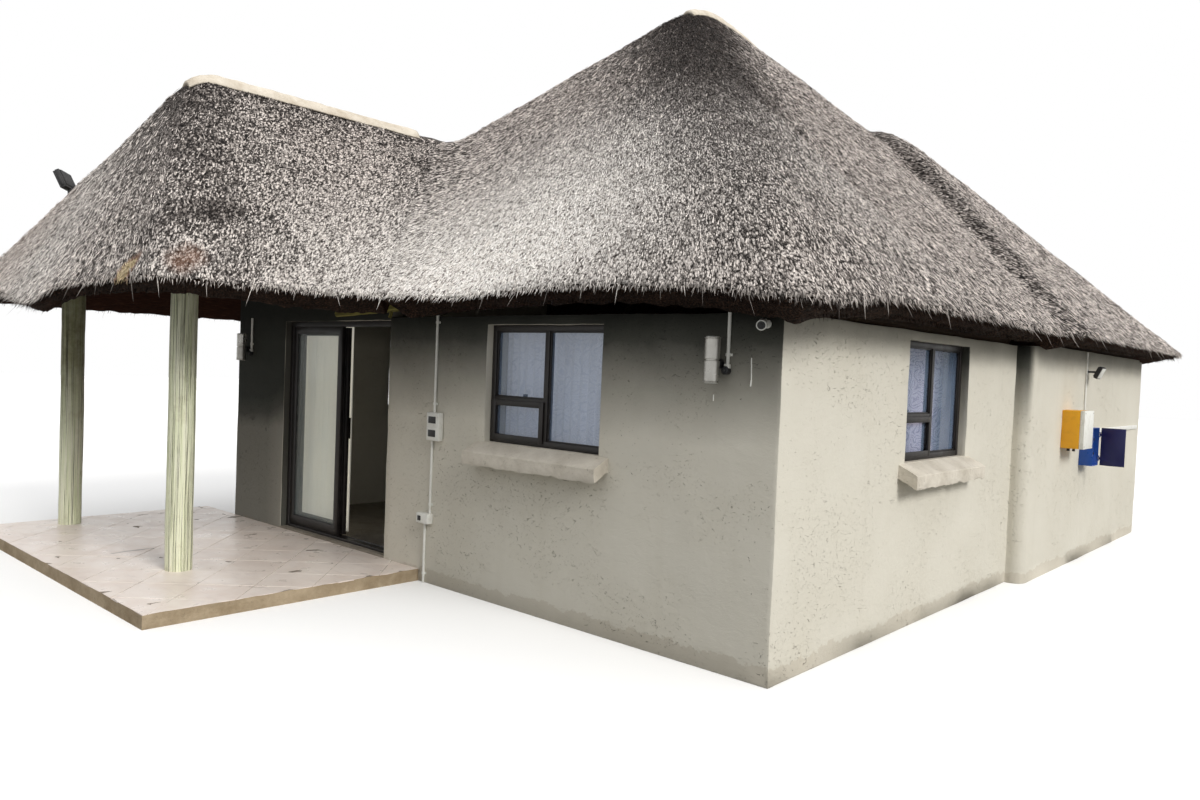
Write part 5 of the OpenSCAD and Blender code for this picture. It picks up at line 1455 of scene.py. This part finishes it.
def make_conduits():
    front, under_roof = -FRONT_Y, WALL_H + 0.015
    # The pipes on the front wall: x, and the heights of both ends
    pipes = [(x + 0.07, LIGHT_Z - 0.045, under_roof) for x in LIGHT_XS]
    pipes += [(0.12, 1.41, under_roof), (0.1, 0.58, 1.2), (0.04, 0.0, 0.51)]
    runs = [((x, front - 0.011, z0), (x, front - 0.011, z1), 0.011, 0.001) for x, z0, z1 in pipes]
    side_x, side_y = REAR_HALF + 0.011, 2.45
    runs.append(((side_x, side_y, 1.42), (side_x, side_y, under_roof), 0.011, 0.001))
    finish_piece(bars("conduit_pipes", runs, WHITE_PVC, 16), "building", "white_plastic", "conduits")
    ends = []
    for x, z0, z1 in pipes:
        ends += [(x, front - 0.011, z0 + 0.08), (x, front - 0.011, z1 - 0.06)]
    mesh = bpy.data.meshes.new("clip_lines")
    mesh.from_pydata(ends, [(i, i + 1) for i in range(0, len(ends), 2)], [])
    line = bpy.data.objects.new("clip_lines", mesh)
    clips = grown("conduit_clips", line, clip_tree(), Spacing=0.5, Finish=WHITE_PVC)
    finish_piece(clips, "building", "white_plastic")
    bpy.data.objects.remove(line)
    # Double switch, box near the floor, trunking and small box on the side wall, elbows at the lights
    shells = [((0.066, front - 0.05, 1.19), (0.224, front, 1.42)),
              ((-0.02, front - 0.06, 0.5), (0.13, front, 0.585)),
              ((REAR_HALF, 2.62, 1.345), (REAR_HALF + 0.018, BACK_Y - CORNER_R, 1.395)),
              ((REAR_HALF, 2.43, 1.405), (REAR_HALF + 0.03, 2.475, 1.47))]
    shells += [((x + 0.052, front - 0.03, LIGHT_Z - 0.055), (x + 0.088, front, LIGHT_Z - 0.02))
               for x in LIGHT_XS]
    made = boxes("switch_shells", shells, WHITE_PVC, 0.006, 3)
    finish_piece(made, "building", "white_plastic", "conduits")
    plates = [((0.078, front - 0.054, 1.31), (0.212, front - 0.049, 1.41)),
              ((0.078, front - 0.054, 1.2), (0.212, front - 0.049, 1.3)),
              ((-0.01, front - 0.064, 0.508), (0.07, front - 0.059, 0.578))]
    finish_piece(boxes("switch_plates", plates, WHITE_PVC, 0.003), "building", "white_plastic", "conduits")
    rockers = [((0.098, front - 0.058, z + 0.022), (0.192, front - 0.053, z + 0.078)) for z in (1.2, 1.31)]
    rockers += [((0.012, front - 0.071, 0.523), (0.048, front - 0.063, 0.563)),
                ((REAR_HALF, 2.428, 1.485), (REAR_HALF + 0.028, 2.472, 1.535))]
    made = boxes("switch_rockers", rockers, DARK_PLASTIC, 0.003)
    finish_piece(made, "building", "white_plastic", "conduits")


def turned_by(degrees, axis):
    return Matrix.Rotation(math.radians(degrees), 4, axis)


def lamp_part(name, blocks, mat, bevel, pose):
    """A part of a floodlight, made upright and then posed."""
    made = boxes(name, blocks, mat, bevel)
    made.data.transform(pose)
    finish_piece(made, "building", "lamp_black", "floodlights")


def make_camera_and_floodlights():
    base = Vector((HALF_W - 0.11, -FRONT_Y, WALL_H - 0.07))
    hub = base + Vector((0, -0.052, 0))
    out = Matrix.Rotation(math.radians(25), 3, "Z") @ Matrix.Rotation(math.radians(100), 3, "X") @ up(1)
    body = [(base, base + Vector((0, -0.012, 0)), 0.026, 0.003),
            (base + Vector((0, -0.01, 0)), hub, 0.009, 0.001),
            (hub - out * 0.02, hub + out * 0.088, 0.029, 0.006),
            (hub - out * 0.012, hub + out * 0.09, 0.0305, 0.002)]
    finish_piece(bars("eave_camera_body", body, WHITE_PVC, 32), "building", "white_plastic", "eave_camera")
    lens = [(hub + out * 0.088, hub + out * 0.092, 0.024, 0.001),
            (hub + out * 0.09, hub + out * 0.0955, 0.011, 0.003)]
    finish_piece(bars("eave_camera_lens", lens, DARK_PLASTIC, 28), "building", "white_plastic", "eave_camera")
    # Floodlight on the verandah roof: finned body, bracket and glass
    corner = eave_ends(WING_APEX[None], np.array([[-LEFT_EAVE, WING_FRONT_Y]]))[0]
    spot = WING_APEX + (corner - WING_APEX) * 0.5
    foot = Vector((*spot, float(roof_z(*spot))))
    stem = bars("roof_lamp_stem", [(foot - up(0.02), foot + up(0.08), 0.014, 0.002)], LAMP_BLACK, 20)
    finish_piece(stem, "building", "lamp_black", "floodlights")
    pose = Matrix.Translation(foot + up(0.07)) @ turned_by(-35, "Z") @ turned_by(25, "X")
    parts = [((-0.14, -0.012, 0.0), (0.14, 0.024, 0.17)), ((-0.134, -0.034, 0.004), (0.134, -0.012, 0.166))]
    parts += [((-0.126 + 0.0225 * i, 0.022, 0.012), (-0.121 + 0.0225 * i, 0.039, 0.158)) for i in range(12)]
    parts += [((-0.148, -0.01, 0.02), (-0.141, 0.012, 0.11)), ((0.141, -0.01, 0.02), (0.148, 0.012, 0.11)),
              ((-0.148, -0.01, 0.0), (0.148, 0.012, 0.006))]
    lamp_part("roof_lamp_body", parts, LAMP_BLACK, 0.003, pose)
    lamp_part("roof_lamp_glass", [((-0.12, -0.038, 0.018), (0.12, -0.033, 0.152))], GLASS, 0.002, pose)
    # Floodlight on the side wall, under the eave
    wall = Vector((REAR_HALF, 2.5, WALL_H - 0.19))
    arm = [(wall, wall + Vector((0.012, 0, 0)), 0.03, 0.003),
           (wall + Vector((0.01, 0, 0)), wall + Vector((0.112, 0, 0)), 0.01, 0.002)]
    finish_piece(bars("wall_lamp_arm", arm, LAMP_BLACK, 20), "building", "lamp_black", "floodlights")
    pose = Matrix.Translation(wall + Vector((0.11, 0, 0))) @ turned_by(25, "Y")
    parts = [((0.0, -0.075, -0.065), (0.034, 0.075, 0.065))]
    parts += [((-0.012, -0.066 + 0.019 * i, -0.055), (0.002, -0.062 + 0.019 * i, 0.055)) for i in range(8)]
    lamp_part("wall_lamp_body", parts, LAMP_BLACK, 0.003, pose)
    lamp_part("wall_lamp_glass", [((0.033, -0.066, -0.056), (0.04, 0.066, 0.056))], WHITE_PVC, 0.002, pose)


def make_meter_and_switch_boxes():
    a, b = (Vector(v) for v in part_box("meter_box"))
    seam = b.x - 0.04
    body = [(a, (seam - 0.002, b.y, b.z))]
    finish_piece(boxes("meter_box_body", body, ORANGE, 0.008, 3), "building", "meter_orange", "meter_box")
    lid = [((seam, a.y, a.z), b),
           ((seam - 0.004, a.y + 0.004, a.z + 0.004), (seam + 0.004, b.y - 0.004, b.z - 0.004))]
    finish_piece(boxes("meter_box_lid", lid, WHITE_PVC, 0.006, 3), "building", "white_plastic", "meter_box")
    screws = [((b.x - 0.001, y, z), (b.x + 0.003, y, z), 0.007, 0.001)
              for y in (a.y + 0.025, b.y - 0.025) for z in (a.z + 0.025, b.z - 0.025)]
    finish_piece(bars("meter_box_screws", screws, SATIN_METAL, 12), "building", "lamp_metal", "meter_box")
    glands = []
    for x in (a.x + 0.05 + 0.05 * i for i in range(2)):
        glands.append(((x, a.y + 0.1, a.z - 0.03), (x, a.y + 0.1, a.z + 0.002), 0.014, 0.002))
    finish_piece(bars("meter_box_glands", glands, DARK_PLASTIC, 16), "building", "meter_orange")
    finish_piece(dress("switch_box", SWITCH_BLUE, 0.0015), "building", "switch_blue", "switch_box")
    finish_piece(dress("switch_box_door", SWITCH_NAVY, 0.0015), "box_door", "switch_blue", "switch_box_door")
    # Two rows of breakers with their levers, on rails
    a, gear, levers, rails = Vector(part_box("switch_box")[0]), [], [], []
    for z in (a.z + 0.08, a.z + 0.23):
        rails.append(((a.x + 0.004, a.y + 0.012, z + 0.02), (a.x + 0.052, a.y + 0.22, z + 0.06)))
        for i in range(6):
            low_y, high_y = a.y + 0.03 + 0.03 * i, a.y + 0.056 + 0.03 * i
            gear.append(((a.x + 0.05, low_y, z), (a.x + 0.085, high_y, z + 0.085)))
            low_y, high_y = a.y + 0.038 + 0.03 * i, a.y + 0.048 + 0.03 * i
            levers.append(((a.x + 0.084, low_y, z + 0.032), (a.x + 0.098, high_y, z + 0.055)))
    finish_piece(boxes("switch_gear", gear, WHITE_PVC, 0.003), "building", "white_plastic")
    finish_piece(boxes("switch_levers", levers, DARK_PLASTIC, 0.002), "building", "white_plastic")
    finish_piece(boxes("switch_rails", rails, SATIN_METAL, 0.002), "building", "lamp_metal")


def make_paint_drip():
    """Runs of pale paint on the front wall, beside the lamp."""
    y = -FRONT_Y - 0.002
    runs = [((3.125, y, 1.8), (3.12, y, 1.93), 0.0035, 0.001),
            ((3.122, y, 1.76), (3.125, y, 1.8), 0.005, 0.002),
            ((2.86, y, 1.66), (2.86, y, 1.70), 0.0035, 0.001)]
    finish_piece(bars("paint_runs", runs, WHITE_PVC, 10), "building", "plaster")


# Stage
def make_ground():
    """A pale floor, which glows a little where the camera sees it."""
    f = Finish("pale_floor", 0.9, Specular_IOR_Level=0.1)
    seen = f.node("LightPath", "Is Camera Ray")
    f.set("Base Color", f.mix(seen, (0.30, 0.30, 0.29), (0.86, 0.86, 0.86)))
    f.set("Emission Color", (1, 1, 1, 1))
    f.set("Emission Strength", f.times(seen, 0.14))
    corners = [(-60, -60, 0), (60, -60, 0), (60, 60, 0), (-60, 60, 0)]
    piece("floor", corners, [(0, 1, 2, 3)], f.mat, False)


def make_sky():
    """White where the camera sees it, and brighter overhead for everything else."""
    world = bpy.data.worlds.new("soft_sky")
    world.use_nodes = True
    scene.world = world
    tree = world.node_tree

    def maths(how, a, b, c=0.0):
        made = tree.nodes.new("ShaderNodeMath")
        made.operation = how
        for at, value in enumerate((a, b, c)):
            if isinstance(value, bpy.types.NodeSocket):
                tree.links.new(value, made.inputs[at])
            else:
                made.inputs[at].default_value = value
        return made.outputs[0]

    paths = tree.nodes.new("ShaderNodeLightPath").outputs
    seen = maths("MAXIMUM", paths["Is Camera Ray"], paths["Is Glossy Ray"])
    seen = maths("MAXIMUM", seen, paths["Is Transmission Ray"])
    split = tree.nodes.new("ShaderNodeSeparateXYZ")
    tree.links.new(tree.nodes.new("ShaderNodeTexCoord").outputs["Generated"], split.inputs[0])
    sky = maths("MULTIPLY_ADD", maths("MAXIMUM", split.outputs["Z"], 0.0), 1.1, 0.2)
    level = maths("ADD", maths("MULTIPLY", sky, maths("SUBTRACT", 1.0, seen)), seen)
    tree.links.new(level, tree.nodes["Background"].inputs["Strength"])
    tree.nodes["Background"].inputs["Color"].default_value = (1, 1, 1, 1)


def make_sun():
    sun = bpy.data.lights.new("soft_sun", "SUN")
    sun.energy, sun.angle, sun.color = 2.2, math.radians(22), (1.0, 0.98, 0.94)
    lamp = bpy.data.objects.new("soft_sun", sun)
    lamp.rotation_euler = Vector((0.83, -0.10, 0.55)).to_track_quat("Z", "Y").to_euler()
    scene.collection.objects.link(lamp)


make_thatch()
make_ridge_caps()
make_walls()
make_poles()
make_openings()
make_curtains()
make_verandah_floor()
make_wall_lights()
make_conduits()
make_camera_and_floodlights()
make_meter_and_switch_boxes()
make_paint_drip()
make_ground()
make_sky()
make_sun()
scene.view_settings.view_transform = "Standard"
